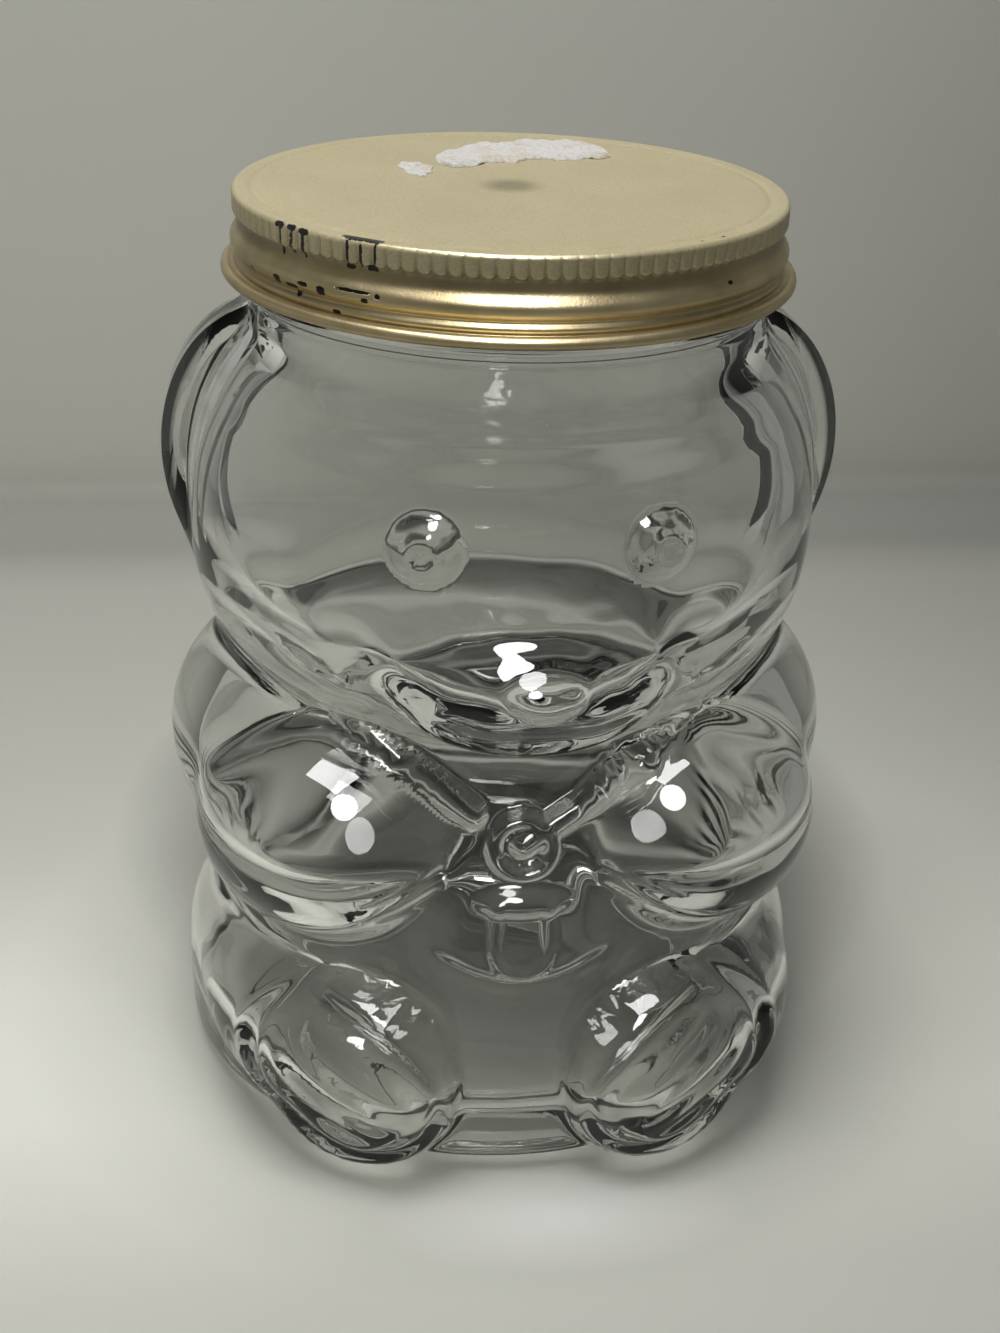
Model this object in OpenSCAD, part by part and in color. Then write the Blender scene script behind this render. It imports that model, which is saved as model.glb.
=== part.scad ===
// Clear glass honey jar in the shape of a sitting bear, with a one-turn screw lid of tinplate.
// Millimetres. The Z axis is the axis of the mouth, the jar stands on z = 0 and the face looks along -Y.
// Angles round the jar are counted from the front, towards +X.

/* [Jar] */
// Height of the glass, from the table to the rim
jar_h = 136.3; // [132:0.1:142]
// Wall of the glass
wall = 4; // [3.4:0.1:5]
// Thickness of the glass floor at its edge
floor_t = 6.5; // [5:0.5:10]
// Height by which the bearing ring lifts the base off the table
ring_lift = 0.6; // [0.4:0.1:1]
// Distance of the bearing ring inside the front of the seat
ring_in = 8; // [7:0.5:12]
// Width of the bearing ring
ring_w = 4; // [3:0.5:6]
// Height of the push-up in the middle of the base
push_up = 2; // [1:0.5:3]
// Radius of the edge between the base and the sides
base_round = 4; // [3:0.5:6]

/* [Neck] */
// Outer radius of the neck under the lid
neck_r = 36.6; // [36:0.1:37]
// Wall of the neck finish, from the bore to the neck
finish_wall = 3.4; // [3:0.1:4]
// Height of the neck finish
finish_h = 13.4; // [12.6:0.1:15]
// Step of the screw thread outside the neck
thread_out = 1.1; // [0.6:0.1:1.2]
// Depth of the thread below the rim
thread_drop = 5.6; // [5.2:0.1:6]
// Height of the bead round the foot of the neck
collar_h = 1.6; // [1:0.1:2]
// Step of the bead outside the neck
collar_out = 0.7; // [0.4:0.1:1]

/* [Head] */
// Width of the head without the ears
head_w = 93.2; // [88:0.2:96]
// Depth of the head without the muzzle
head_d = 85; // [80:0.5:88]
// Distance from the foot of the neck down to the widest part of the head
head_drop = 30.6; // [29:0.1:32]
// Reach of the skull above its widest part
head_up = 37; // [35:0.5:40]
// Reach of the chin below the widest part of the head
head_down = 33.6; // [32:0.1:36]
// Step of the ears outside the head
ear_out = 3.5; // [2:0.1:4]
// Height of an ear
ear_h = 42; // [36:0.5:44]
// Thickness of an ear
ear_t = 8; // [6:0.5:10]
// Height of the middle of the ears above the widest part of the head
ear_rise = 8; // [6:0.1:10]
// Step of the muzzle in front of the head
muzzle_out = 6; // [4:0.1:8]
// Width of the muzzle
muzzle_w = 42; // [36:0.5:46]
// Height of the muzzle
muzzle_h = 24; // [20:0.5:26]
// Distance of the middle of the muzzle below the widest part of the head
muzzle_drop = 13.8; // [12:0.1:16]
// Width of the nose
nose_w = 10; // [8:0.5:13]
// Height of the nose
nose_h = 6; // [5:0.5:8]
// Distance of the middle of the nose below the widest part of the head
nose_drop = 10.8; // [9:0.1:12]
// Diameter of an eye
eye_d = 10; // [8:0.5:12]
// Angle of each eye from the middle of the face
eye_angle = 21.5; // [18:0.5:26]
// Turn of the face from the front of the body
face_turn = 1.5; // [0:0.5:3]
// Height of the eyes above the widest part of the head
eye_rise = 7.4; // [5:0.1:9]
// Step of the eyes outside the face
eye_out = 2.2; // [1.5:0.1:3]
// Step of the nose outside the muzzle
nose_out = 1.5; // [1:0.1:2.5]

/* [Body] */
// Width of the trunk
trunk_w = 89; // [84:0.5:91]
// Depth of the trunk
trunk_d = 87.2; // [82:0.2:89]
// Height of the widest part of the trunk
trunk_z = 24; // [20:0.5:28]
// Depth of the top of the shoulders below the widest part of the head
trunk_tuck = 19.3; // [16:0.1:22]
// Width of the seat
seat_w = 98.6; // [92:0.2:99]
// Depth of the seat
seat_d = 90; // [86:0.5:94]
// Height of the widest part of the seat
seat_z = 13; // [10:0.5:16]
// Reach of the seat above its widest part
seat_up = 24; // [20:0.5:26]
// Width over both arms
arms_w = 100.8; // [97:0.2:103]
// Height of the middle of the upper arms
arm_z = 57; // [55:0.5:58]
// Thickness of an arm
arm_t = 42; // [38:0.5:44]
// Height of the middle of the forearms
forearm_z = 50.5; // [49:0.5:52]
// Height of a forearm
forearm_h = 36; // [32:0.5:38]
// Width of a forearm
forearm_w = 44; // [40:0.5:46]
// Reach of the forearms in front of the axis
forearm_out = 43.5; // [42:0.1:45]
// Gap between the paws at the height of the forearms
paw_gap = 5; // [3:0.5:8]

/* [Feet] */
// Reach of the soles from the axis of the jar
foot_out = 53.6; // [51:0.1:55]
// Angle of each foot from the middle between them
foot_angle = 29.5; // [27:0.5:32]
// Turn of the pair of feet from the front of the body
foot_turn = -1.3; // [-2:0.1:0]
// Radius of a foot
foot_r = 16.6; // [15:0.1:17.5]
// Height of the middle of a foot
foot_z = 16; // [15:0.5:17]
// Length of the oval pad of a sole
sole_w = 27; // [24:0.5:29]
// Width of the oval pad of a sole
sole_h = 20; // [17:0.5:22]
// Depth of the line round a sole
sole_line = 1.2; // [0.5:0.1:1.2]
// Height of the top of the legs
leg_top = 33.5; // [31:0.5:35]
// Distance of the middle of each leg from the middle of the jar
leg_x = 25; // [23:0.5:27]
// Width of a leg
leg_w = 42; // [38:0.5:44]
// Reach of the legs in front of the axis
leg_out = 45.5; // [45:0.1:49]
// Width of the back
back_w = 80; // [76:0.5:84]
// Reach of the back behind the axis
back_out = 42; // [40:0.5:43]
// Height of the middle of the back
back_z = 52; // [50:0.5:54]
// Width of the rump
rump_w = 68; // [60:0.5:72]
// Height of the middle of the rump
rump_z = 20; // [16:0.5:24]

/* [Neck cord] */
// Thickness of the cord and of its ring
cord_t = 4; // [3.4:0.1:4.4]
// Height of the middle of the ring
cord_ring_z = 53.4; // [52:0.2:55]
// Radius of the ring, to the middle of its bar
cord_ring_r = 4.1; // [3.6:0.1:4.8]
// Sideways reach of the cord where it goes under the chin
cord_reach = 36; // [33:0.5:38]
// Rise of the cord from the ring to the chin
cord_rise = 14; // [12:0.5:16]
// Height of the middle of the bead below the ring
bead_z = 45.7; // [44:0.2:47]
// Width of the bead below the ring
bead_w = 16; // [12:0.5:17]
// Height of the bead below the ring
bead_h = 4.8; // [4:0.1:5.6]
// Width of the rounded tab
tab_w = 8.4; // [8:0.5:11]
// Height of the lower end of the tab
tab_z = 34.4; // [34:0.2:36]
// Height of the fold of the belly
fold_z = 32.2; // [30:0.2:32.5]
// Depth of the fold of the belly
fold_depth = 1.1; // [0.6:0.1:1.5]
// Width of the fold of the belly
fold_w = 26; // [22:0.5:30]
// Rise of the ends of the fold above its middle
fold_rise = 4; // [2:0.5:5]

/* [Lid] */
// Thickness of the tinplate
sheet = 0.3; // [0.25:0.05:0.35]
// Height of the lid
lid_h = 11.8; // [11.4:0.1:12]
// Free gap between the jar's thread and the groove of the lid
lid_play = 0.3; // [0.2:0.05:0.4]
// Depth of the smooth groove below the knurled band
groove_depth = 0.7; // [0.5:0.1:0.9]
// Height of the smooth groove below the knurled band
groove_h = 2.3; // [2:0.1:2.6]
// Radius of the shoulder of the lid
shoulder_r = 0.7; // [0.5:0.1:0.9]
// Number of knurls
knurls = 120; // [60:1:140]
// Depth of a knurl
knurl_depth = 0.35; // [0.2:0.05:0.4]
// Height of the knurled band
knurl_h = 2.5; // [2:0.1:2.8]
// Step of the thread bead outside the knurled band
lid_bead_out = 0.4; // [0.2:0.1:0.6]
// Height of the thread bead
lid_bead_h = 3; // [2.6:0.1:3.2]
// Step of the rolled edge outside the knurled band
curl_out = 1.8; // [1.4:0.1:2]
// Radius of the rolled edge
curl_r = 0.85; // [0.7:0.05:1]
// Distance of the fine ring pressed into the panel inside the knurled band
panel_ring_in = 2.8; // [2.2:0.1:5]
// Depth of the fine ring pressed into the panel
panel_ring_dip = 0.1; // [0.05:0.05:0.15]
// Thickness of the liner
liner_t = 1; // [0.8:0.1:1.2]
// Free gap above and below the liner
liner_gap = 0.2; // [0.15:0.05:0.3]
// Free gap round the liner
liner_play = 0.4; // [0.3:0.1:0.6]

/* [Paper scraps] */
// Height to which the torn paper left on the lid is crumpled
paper_t = 0.8; // [0.4:0.1:1]
// Width of the larger scrap
paper_w = 27.2; // [24:0.2:29]
// Depth of the larger scrap
paper_d = 14.6; // [12:0.2:16]
// Distance of the left end of the larger scrap behind the axis
paper_y = 16; // [14:0.5:17]
// Sideways place of the middle of the larger scrap
paper_x = 4.1; // [2:0.1:5]
// Width of the crumpled lobe beside it
lobe_w = 4.6; // [3:0.1:5]

/* [Hidden] */
$fn = 96;

// Angles of the columns on each side, which lie closest at the front and at the ears
side_columns = concat(
    [for (q = [1:21]) 2.9 * q],
    [67, 73, 79, 83, 86, 88, 90.5, 94, 96.5, 98.5, 102],
    [for (q = [110:10:170]) q]
);
// Rows of the shell: below the fold, over the paws and the cord, over the head, and inside
rows_seat = 8;
rows_paws = 19;
rows_head = 23;
rows_inside = 15;
// Radius at which the front is unrolled for what is drawn on it
unroll_r = 46;
// Softness of the creases outside and inside
crease = 1.2;
crease_in = 2.4;
// Powers of the outlines: a higher one is squarer
head_power = 2.6;
trunk_power = 2.5;
seat_power = 3;
foot_power = 3.4;
dome_power = 0.7;
rod_power = 0.6;
// Sharpness of a cut line
line_sharp = 1.2;
// Reaches of the trunk and the seat below their widest parts, past the table
trunk_down = 70;
seat_down = 32;
// Length of a foot from its sole to where it sinks into the trunk
foot_len = 19;
// Depths from front to back, and the places of the masses in front of or behind the axis
muzzle_d = 39;
arm_ahead = 4;
arm_d = 45;
forearm_d = 48;
leg_d = 58;
leg_rise = 2;
back_d = 68;
back_h = 64;
rump_d = 52;
rump_h = 42;
ear_root = 12;
ear_back = 2;
ear_edge = 1;
// Rise of the middle of a sole above the middle of its foot, and its lean out of the level
sole_rise = 1.5;
sole_lean = 38;
// Height over which the head runs into the neck, and how far it stands outside the neck
neck_blend = 9;
neck_skin = 0.2;
// Runs of the two cords from the nape to the ring: shares of their reach and their rise, and of
// their thickness by which they sink in
cord_left = [[-1, 1.2, 0.4], [-0.62, 0.79, 0], [-0.44, 0.53, 0], [-0.24, 0.26, 0]];
cord_right = [[1.05, 1.12, 0.4], [0.59, 0.71, 0], [0.29, 0.29, 0], [0, 0, 0]];
// Steepness of the glass behind a cord
cord_fall = 3;
// Share by which the bar of the ring is thinner than the cord, and by which the ring is flattened
ring_share = 0.7;
ring_flat = 0.85;
// Step and half width of the line round the tab, half width of the fold
tab_step = 0.7;
tab_line = 1.1;
fold_line = 1.4;
// Width of the line round a sole, as a share of its radius
sole_line_w = 0.12;

neck_z = jar_h - finish_h;
mouth_r = neck_r - finish_wall;
thread_r = neck_r + thread_out;
thread_z = jar_h - thread_drop;
ring_r = seat_d / 2 - ring_in;
head_z = neck_z - head_drop;
ear_z = head_z + ear_rise;
eye_z = head_z + eye_rise;
nose_z = head_z - nose_drop;
muzzle_z = head_z - muzzle_drop;
trunk_up = head_z - trunk_tuck - trunk_z;
chin_z = cord_ring_z + cord_rise;
cord_r = cord_t / 2;
groove_r = thread_r + lid_play + sheet;
lid_r = groove_r + groove_depth;
panel_ring_r = lid_r - panel_ring_in;
liner_r = groove_r - sheet - liner_play;
liner_z = jar_h + liner_gap;
lid_top = liner_z + liner_t + liner_gap + sheet;
knurl_low = lid_top - shoulder_r - knurl_h;
curl_z = lid_top - lid_h + curl_r;

n_side = len(side_columns);
column_angles = concat(
    [-180], [for (i = [n_side - 1:-1:0]) -side_columns[i]], [0], side_columns
);
cols = len(column_angles);

function angle(i) = column_angles[i];
function sum(v) = [for (x = v) 1] * v;
function soft_max(v, k) = let (m = max(v)) m + k * ln(sum([for (x = v) exp((x - m) / k)]));
function plan(a, w, d) = 1 / sqrt(pow(2 * sin(a) / w, 2) + pow(2 * cos(a) / d, 2));
function steps(low, high, n) = [for (i = [1:n]) low + (high - low) * i / n];

// Radius of a barrel on the axis: an oval plan whose size follows a squared-off arch in z
function barrel(a, z, w, d, mid, up, down, n) =
    let (q = abs(z - mid) / (z > mid ? up : down))
    plan(a, w, d) * pow(max(1 - pow(q, n), 0), 1 / n);

// Far root of a quadratic, which falls off steeply where there is none
function root(b, d, fall = 1) = b + sqrt(max(d, 0)) - fall * sqrt(max(-d, 0));

// Radius at which a level ray from the axis leaves an egg with centre c and full sizes w
function egg(a, z, c, w) =
    let (s = w / 2, x = sin(a), y = -cos(a))
    let (p = pow(x / s.x, 2) + pow(y / s.y, 2))
    let (b = x * c.x / pow(s.x, 2) + y * c.y / pow(s.y, 2))
    let (q = pow(c.x / s.x, 2) + pow(c.y / s.y, 2) + pow((z - c.z) / s.z, 2) - 1)
    let (d = b * b - p * q)
    max(0, root(b, d) / p);

// Way round the unrolled front from the middle of the nearer foot, outward
function from_foot(a) = (abs(a - foot_turn) - foot_angle) * PI / 180 * unroll_r;

// Radius of a foot, which ends in a nearly flat round sole
function foot(a, z) =
    let (q = norm([from_foot(a), z - foot_z]) / foot_r)
    foot_out - foot_len * (1 - pow(max(1 - pow(q, foot_power), 0), 1 / foot_power));

// Distance from the middle of a sole, as a share of its leaning oval
function sole_share(a, z) =
    let (s = from_foot(a), h = z - foot_z - sole_rise)
    let (long = s * cos(sole_lean) + h * sin(sole_lean))
    let (short = h * cos(sole_lean) - s * sin(sole_lean))
    2 * norm([long / sole_w, short / sole_h]);

// Reach of the feet in front of the axis, which the rump matches behind it
front_reach = max([for (a = [0:1:40]) foot(a, foot_z) * cos(a)]);

// Centres and full sizes of the eggs, for the right side where there are two
arm_at = [(arms_w - arm_t) / 2, -arm_ahead, arm_z];
arm_size = [arm_t, arm_d, arm_t];
forearm_at = [(paw_gap + forearm_w) / 2, forearm_d / 2 - forearm_out, forearm_z];
forearm_size = [forearm_w, forearm_d, forearm_h];
leg_at = [leg_x, leg_d / 2 - leg_out, foot_z + leg_rise];
leg_size = [leg_w, leg_d, 2 * (leg_top - foot_z - leg_rise)];
back_at = [0, back_out - back_d / 2, back_z];
back_size = [back_w, back_d, back_h];
rump_at = [0, front_reach - rump_d / 2, rump_z];
rump_size = [rump_w, rump_d, rump_h];
muzzle_at = [0, (muzzle_d - head_d) / 2 - muzzle_out, muzzle_z];
muzzle_size = [muzzle_w, muzzle_d, muzzle_h];

// The main masses of the bear, which both sides of the glass follow
function masses(a, z) =
    let (b = abs(a))
    [
        barrel(a, z, head_w, head_d, head_z, head_up, head_down, head_power),
        barrel(a, z, trunk_w, trunk_d, trunk_z, trunk_up, trunk_down, trunk_power),
        barrel(a, z, seat_w, seat_d, seat_z, seat_up, seat_down, seat_power),
        egg(b, z, arm_at, arm_size),
        egg(b, z, forearm_at, forearm_size),
        egg(b, z, leg_at, leg_size),
        foot(a, z),
        egg(a, z, back_at, back_size),
        egg(a, z, rump_at, rump_size),
        egg(a, z, muzzle_at, muzzle_size),
        z > neck_z - neck_blend ? neck_r + neck_skin : 0
    ];

// The ears are upright half-discs at the sides, on the outside only: a level ray leaves one
// through its rim or through one of its flat faces, whichever comes first
function ears(a, z) =
    let (x = abs(sin(a)), y = -cos(a), q = 2 * (z - ear_z) / ear_h)
    let (reach = head_w / 2 - ear_root + (ear_root + ear_out) * sqrt(max(1 - q * q, 0)))
    let (face = (ear_t / 2 + (y > 0 ? ear_back : -ear_back)) / max(abs(y), 0.01))
    q * q < 1 ? -soft_max([-reach / max(x, 0.1), -face], ear_edge) : 0;

function dome(q) = pow(max(1 - q * q, 0), dome_power);
function rod(q) = pow(max(1 - q * q, 0), rod_power);
function line(q) = exp(-line_sharp * q * q);

// The raised nose, eyes, ring, bead and tab, and the cut lines of the belly and the soles
function relief(a, z) =
    let (s = a * PI / 180 * unroll_r, b = a - face_turn)
    let (eye = norm([(abs(b) - eye_angle) * PI / 180 * head_d, 2 * (z - eye_z)]) / eye_d)
    let (nose = norm([b * PI / 180 * head_d / nose_w, 2 * (z - nose_z) / nose_h]))
    let (ring = norm([s * ring_flat, (z - cord_ring_z) / ring_flat]) - cord_ring_r)
    let (tab_r = tab_w / 2, tab = norm([s, z - max(z, tab_z + tab_r)]) - tab_r)
    let (bead = norm([2 * s / bead_w, 2 * (z - bead_z) / bead_h]))
    let (across = 2 * s / fold_w, fold = z - fold_z - fold_rise * across * across)
    eye_out * dome(eye) + nose_out * dome(nose)
        + cord_r * (rod(ring / (cord_r * ring_share)) + max(1 - bead * bead, 0))
        + (z < bead_z ? tab_step * rod(tab / tab_line) : 0)
        - fold_depth * line(fold / fold_line) * exp(-pow(across, 6))
        - sole_line * line((sole_share(a, z) - 1) / sole_line_w);

// The cords are round rods between points on the surface of the chest
function on_chest(p) =
    let (s = p.x * cord_reach, z = cord_ring_z + p.y * cord_rise, a = s / unroll_r * 180 / PI)
    let (r = soft_max(masses(a, z), crease) - p.z * cord_t)
    [r * sin(a), -r * cos(a), z];
cords = [for (run = [cord_left, cord_right]) [for (p = run) on_chest(p)]];

// Radius at which a level ray leaves the ball at c, or the rod from c to e
function ball_exit(a, z, c) =
    let (b = c.x * sin(a) - c.y * cos(a))
    root(b, b * b - c.x * c.x - c.y * c.y - pow(z - c.z, 2) + cord_r * cord_r, cord_fall);
function rod_exit(a, z, c, e) =
    let (u = [sin(a), -cos(a), 0], w = [0, 0, z] - c, g = (e - c) / norm(e - c))
    let (f = u - (u * g) * g, h = w - (w * g) * g)
    let (d = pow(f * h, 2) - f * f * (h * h - cord_r * cord_r))
    let (r = root(-f * h, d, cord_fall) / (f * f), t = (r * u + w) * g)
    t > 0 && t < norm(e - c) ? r : 0;
function cord(a, z) =
    max([
        for (run = cords, i = [1:len(run) - 1])
            max(ball_exit(a, z, run[i]), rod_exit(a, z, run[i - 1], run[i]))
    ]);

function edge_round(z, r) = r * (1 - sqrt(max(1 - pow(1 - min(z, r) / r, 2), 0)));

function outside(a, z) =
    max(
        soft_max(concat(masses(a, z), [ears(a, z)]), crease) + relief(a, z),
        abs(z - chin_z + cord_rise / 2) < cord_rise ? cord(a, z) : 0
    ) - edge_round(z - ring_lift, base_round);

// The inside keeps one wall away from the masses, sideways and, by the levels next to it, up and down
function inside(a, z) =
    let (step = 0.6 * wall)
    min([for (h = [-step, 0, step]) soft_max(masses(a, min(z + h, neck_z)), crease_in)]) - wall
        - edge_round(z - floor_t, 2 * base_round);

function at(a, r, z) = [r * sin(a), -r * cos(a), z];
function ring_at(z) = [for (i = [0:cols - 1]) let (a = angle(i)) at(a, outside(a, z), z)];
function ring_inside(z) = [for (i = [0:cols - 1]) let (a = angle(i)) at(a, inside(a, z), z)];
function circle_at(r, z) = [for (i = [0:cols - 1]) at(angle(i), r, z)];

// Heights of the rows outside: close together at the edge of the base, the paws and the cord
edge_rows = [for (q = [0, 0.07, 0.22, 0.5, 1]) ring_lift + base_round * q];
fold_row = fold_z - 1;
rows_out = concat(
    edge_rows,
    steps(ring_lift + base_round, fold_row, rows_seat),
    steps(fold_row, chin_z, rows_paws),
    steps(chin_z, neck_z, rows_head)
);
rows_in = [for (q = [0:rows_inside])
    floor_t + (neck_z - floor_t) * (1 - pow(1 - q / rows_inside, 1.1))];

// The rings of the glass run from the middle of the base, up outside, over the top and down inside
module glass_shell() {
    dome_r = ring_r - ring_w - 1;
    rings = concat(
        [circle_at(dome_r - 3, ring_lift + push_up), circle_at(dome_r, ring_lift)],
        [for (z = rows_out) ring_at(z)],
        [for (i = [rows_inside:-1:0]) ring_inside(rows_in[i])]
    );
    n = len(rings);
    points = concat([for (r = rings) each r], [[0, 0, ring_lift + push_up], [0, 0, floor_t]]);
    function id(j, i) = j * cols + i % cols;
    faces = concat(
        [for (i = [0:cols - 1]) [n * cols, id(0, i), id(0, i + 1)]],
        [for (j = [0:n - 2], i = [0:cols - 1]) [id(j, i), id(j + 1, i), id(j + 1, i + 1)]],
        [for (j = [0:n - 2], i = [0:cols - 1]) [id(j, i), id(j + 1, i + 1), id(j, i + 1)]],
        [for (i = [0:cols - 1]) [n * cols + 1, id(n - 1, i + 1), id(n - 1, i)]]
    );
    polyhedron(points, faces, 6);
}

// The neck finish is a true revolve: the bore, the rounded rim, one thread and a bead at its foot
module neck_finish() {
    lip = 1;
    crest = 0.6;
    low = neck_z - 2.5;
    collar_z = neck_z + 0.6;
    rotate_extrude()
        polygon([
            [mouth_r, low],
            [neck_r, low],
            [neck_r, collar_z],
            [neck_r + collar_out, collar_z + collar_out],
            [neck_r + collar_out, collar_z + collar_h - collar_out / 2],
            [neck_r, collar_z + collar_h + collar_out / 2],
            [neck_r, thread_z - thread_out],
            [thread_r, thread_z - crest / 2],
            [thread_r, thread_z + crest / 2],
            [neck_r, thread_z + thread_out],
            for (q = [0:15:90]) [neck_r - lip + lip * cos(q), jar_h - lip + lip * sin(q)],
            for (q = [90:15:180]) [mouth_r + lip + lip * cos(q), jar_h - lip + lip * sin(q)]
        ]);
}

// The ring that the jar stands on, which reaches up into the glass of the base
module bearing_ring() {
    edge = 0.5;
    root = 1.5;
    rotate_extrude()
        polygon([
            [ring_r - ring_w, ring_lift + root],
            [ring_r - ring_w, ring_lift],
            [ring_r - ring_w + edge, 0],
            [ring_r - edge, 0],
            [ring_r, ring_lift],
            [ring_r, ring_lift + root]
        ]);
}

module glass_jar() {
    color([0.86, 0.9, 0.88, 0.45])
        union() {
            glass_shell();
            neck_finish();
            bearing_ring();
        }
}

// The lid's section from its axis out and down, drawn outside; the sheet lies inside it
module lid_section() {
    root_r = lid_r - knurl_depth;
    waist_r = lid_r - 0.25;
    ramp = 0.6;
    round_r = 0.8;
    bulge = 0.35;
    corner = shoulder_r - knurl_depth / 2;
    groove_low = knurl_low - groove_h;
    bead_mid = groove_low - lid_bead_h / 2;
    waist_z = bead_mid - lid_bead_h / 2;
    skirt_z = curl_z + curl_r * 0.8;
    skirt_mid = (waist_z + skirt_z) / 2;
    skirt_half = (waist_z - skirt_z) / 2;
    outer = [
        [panel_ring_r - ramp, lid_top],
        [panel_ring_r, lid_top - panel_ring_dip],
        [panel_ring_r + ramp, lid_top],
        [root_r - shoulder_r, lid_top],
        [root_r - shoulder_r + corner, lid_top - shoulder_r + corner],
        [root_r, lid_top - shoulder_r],
        [root_r, knurl_low],
        [groove_r, knurl_low - ramp],
        [groove_r, groove_low],
        for (q = [60:-20:-60]) [
            lid_r + lid_bead_out - round_r + round_r * cos(q),
            bead_mid + lid_bead_h / 2 * sin(q) / sin(60)
        ],
        [waist_r, waist_z - 0.1],
        for (q = [60:-30:-60]) [
            waist_r + 2 * bulge * cos(q) - bulge,
            skirt_mid + (skirt_half - 0.2) * sin(q) / sin(60)
        ],
        [lid_r + curl_out - 1.5 * curl_r, skirt_z]
    ];
    n = len(outer);
    inner = [for (i = [0:n - 1]) outer[i] - [i < 3 ? 0 : sheet, i < 5 || i == n - 1 ? sheet : 0]];
    polygon(concat(
        [[0, lid_top]],
        outer,
        [for (i = [n - 1:-1:0]) inner[i]],
        [[0, lid_top - sheet]]
    ));
    translate([lid_r + curl_out - curl_r, curl_z])
        circle(r = curl_r, $fn = 32);
}

// The knurls are the corners of a star that stand out of the lid's side; its inner corners lie in the sheet
module knurled_band() {
    margin = 0.12;
    sink = sheet / 4;
    root = lid_r - knurl_depth - 0.6 * sheet;
    translate([0, 0, knurl_low + margin])
        linear_extrude(knurl_h - 2 * margin)
            difference() {
                polygon([
                    for (i = [0:2 * knurls - 1])
                        let (r = lid_r - (i % 2) * (knurl_depth + sink), a = 180 * i / knurls)
                        [r * cos(a), r * sin(a)]
                ]);
                circle(r = root);
            }
}

module screw_lid() {
    color([0.80, 0.74, 0.55])
        union() {
            rotate_extrude()
                lid_section();
            knurled_band();
        }
}

module lid_liner() {
    color([0.93, 0.92, 0.88])
        translate([0, 0, liner_z])
            cylinder(r = liner_r, h = liner_t);
}

// The torn patch bends round in an arc, and its two long edges are ragged
function patch_mid(t) = paper_y + 9 * sin(130 * t);
function patch_half(t) = paper_d / 2 * sqrt(1 - pow(abs(2 * t - 1), 5));
function ragged(t, seed) = 0.11 * sin(1260 * t + seed) + 0.06 * sin(3100 * t + 2 * seed);
function patch_edge(t, side) =
    [paper_x + paper_w * (t - 0.5), patch_mid(t) + side * patch_half(t) * (1 + ragged(t, 90 * side))];

module torn_patch() {
    points = 26;
    margin = 0.01;
    function share(i) = margin + (1 - 2 * margin) * i / points;
    linear_extrude(paper_t)
        polygon([
            for (i = [0:points]) patch_edge(share(i), -1),
            for (i = [points:-1:0]) patch_edge(share(i), 1)
        ]);
}

// The crumpled lobe is an oval whose edge wanders
module torn_lobe() {
    points = 24;
    linear_extrude(paper_t)
        polygon([
            for (i = [0:points - 1])
                let (a = 360 * i / points, r = 1 + 0.1 * sin(3 * a + 40) + 0.07 * sin(7 * a))
                [lobe_w / 2 * r * cos(a), lobe_w * r * sin(a)]
        ]);
}

module paper_scraps() {
    lobe_gap = 0.9;
    color([0.93, 0.91, 0.86])
        translate([0, 0, lid_top]) {
            torn_patch();
            translate([paper_x - (paper_w + lobe_w) / 2 - lobe_gap, paper_y - lobe_w * 1.2])
                rotate(8)
                    torn_lobe();
        }
}

glass_jar();
screw_lid();
lid_liner();
paper_scraps();
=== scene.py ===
# %% [markdown]
# # A clear glass honey jar in the shape of a sitting bear
#
# The jar is one thick-walled piece of moulded glass with a one-turn lid of lacquered tinplate.
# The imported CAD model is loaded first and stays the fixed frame. Every piece made here stands in
# the same place as its solid, in metres, and moves with the same body.

import bpy
import numpy as np
from mathutils import Matrix, Vector


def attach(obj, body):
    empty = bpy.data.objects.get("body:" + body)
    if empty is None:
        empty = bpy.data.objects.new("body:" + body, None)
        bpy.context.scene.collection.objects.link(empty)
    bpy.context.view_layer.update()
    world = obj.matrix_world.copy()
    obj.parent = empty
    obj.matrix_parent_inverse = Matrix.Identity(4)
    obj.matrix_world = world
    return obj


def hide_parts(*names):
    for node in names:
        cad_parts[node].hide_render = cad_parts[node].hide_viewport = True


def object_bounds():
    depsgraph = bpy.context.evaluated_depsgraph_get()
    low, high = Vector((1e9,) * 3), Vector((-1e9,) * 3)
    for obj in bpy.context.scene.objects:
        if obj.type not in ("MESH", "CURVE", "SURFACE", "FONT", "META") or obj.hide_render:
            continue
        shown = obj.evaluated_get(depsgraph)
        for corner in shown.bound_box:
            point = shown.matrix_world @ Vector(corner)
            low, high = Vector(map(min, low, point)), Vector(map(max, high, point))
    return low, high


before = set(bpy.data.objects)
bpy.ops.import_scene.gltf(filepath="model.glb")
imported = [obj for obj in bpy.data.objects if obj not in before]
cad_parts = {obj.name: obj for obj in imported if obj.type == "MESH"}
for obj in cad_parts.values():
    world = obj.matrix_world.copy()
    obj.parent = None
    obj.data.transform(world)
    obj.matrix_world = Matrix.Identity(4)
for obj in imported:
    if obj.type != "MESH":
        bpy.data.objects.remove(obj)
cad_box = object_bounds()
MM = 0.001
print("CAD box in mm:", [round(v / MM, 1) for corner in cad_box for v in corner])

# %% [markdown]
# ## Heights and walls
# The CAD source draws the jar from named sizes in millimetres. The same names and values are used
# here, each beside the surface that first needs it, so that the fine surfaces lie where the
# plainer solids do. The neck comes first, because the head hangs from it.

# %% Neck and floor
jar_h, wall, floor_t = 136.3, 4, 6.5
neck_r, finish_wall, finish_h = 36.6, 3.4, 13.4
neck_z, mouth_r = jar_h - finish_h, neck_r - finish_wall
print("neck from z", round(neck_z, 1), "to", jar_h, "with a mouth", round(2 * mouth_r, 1), "wide")

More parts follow.
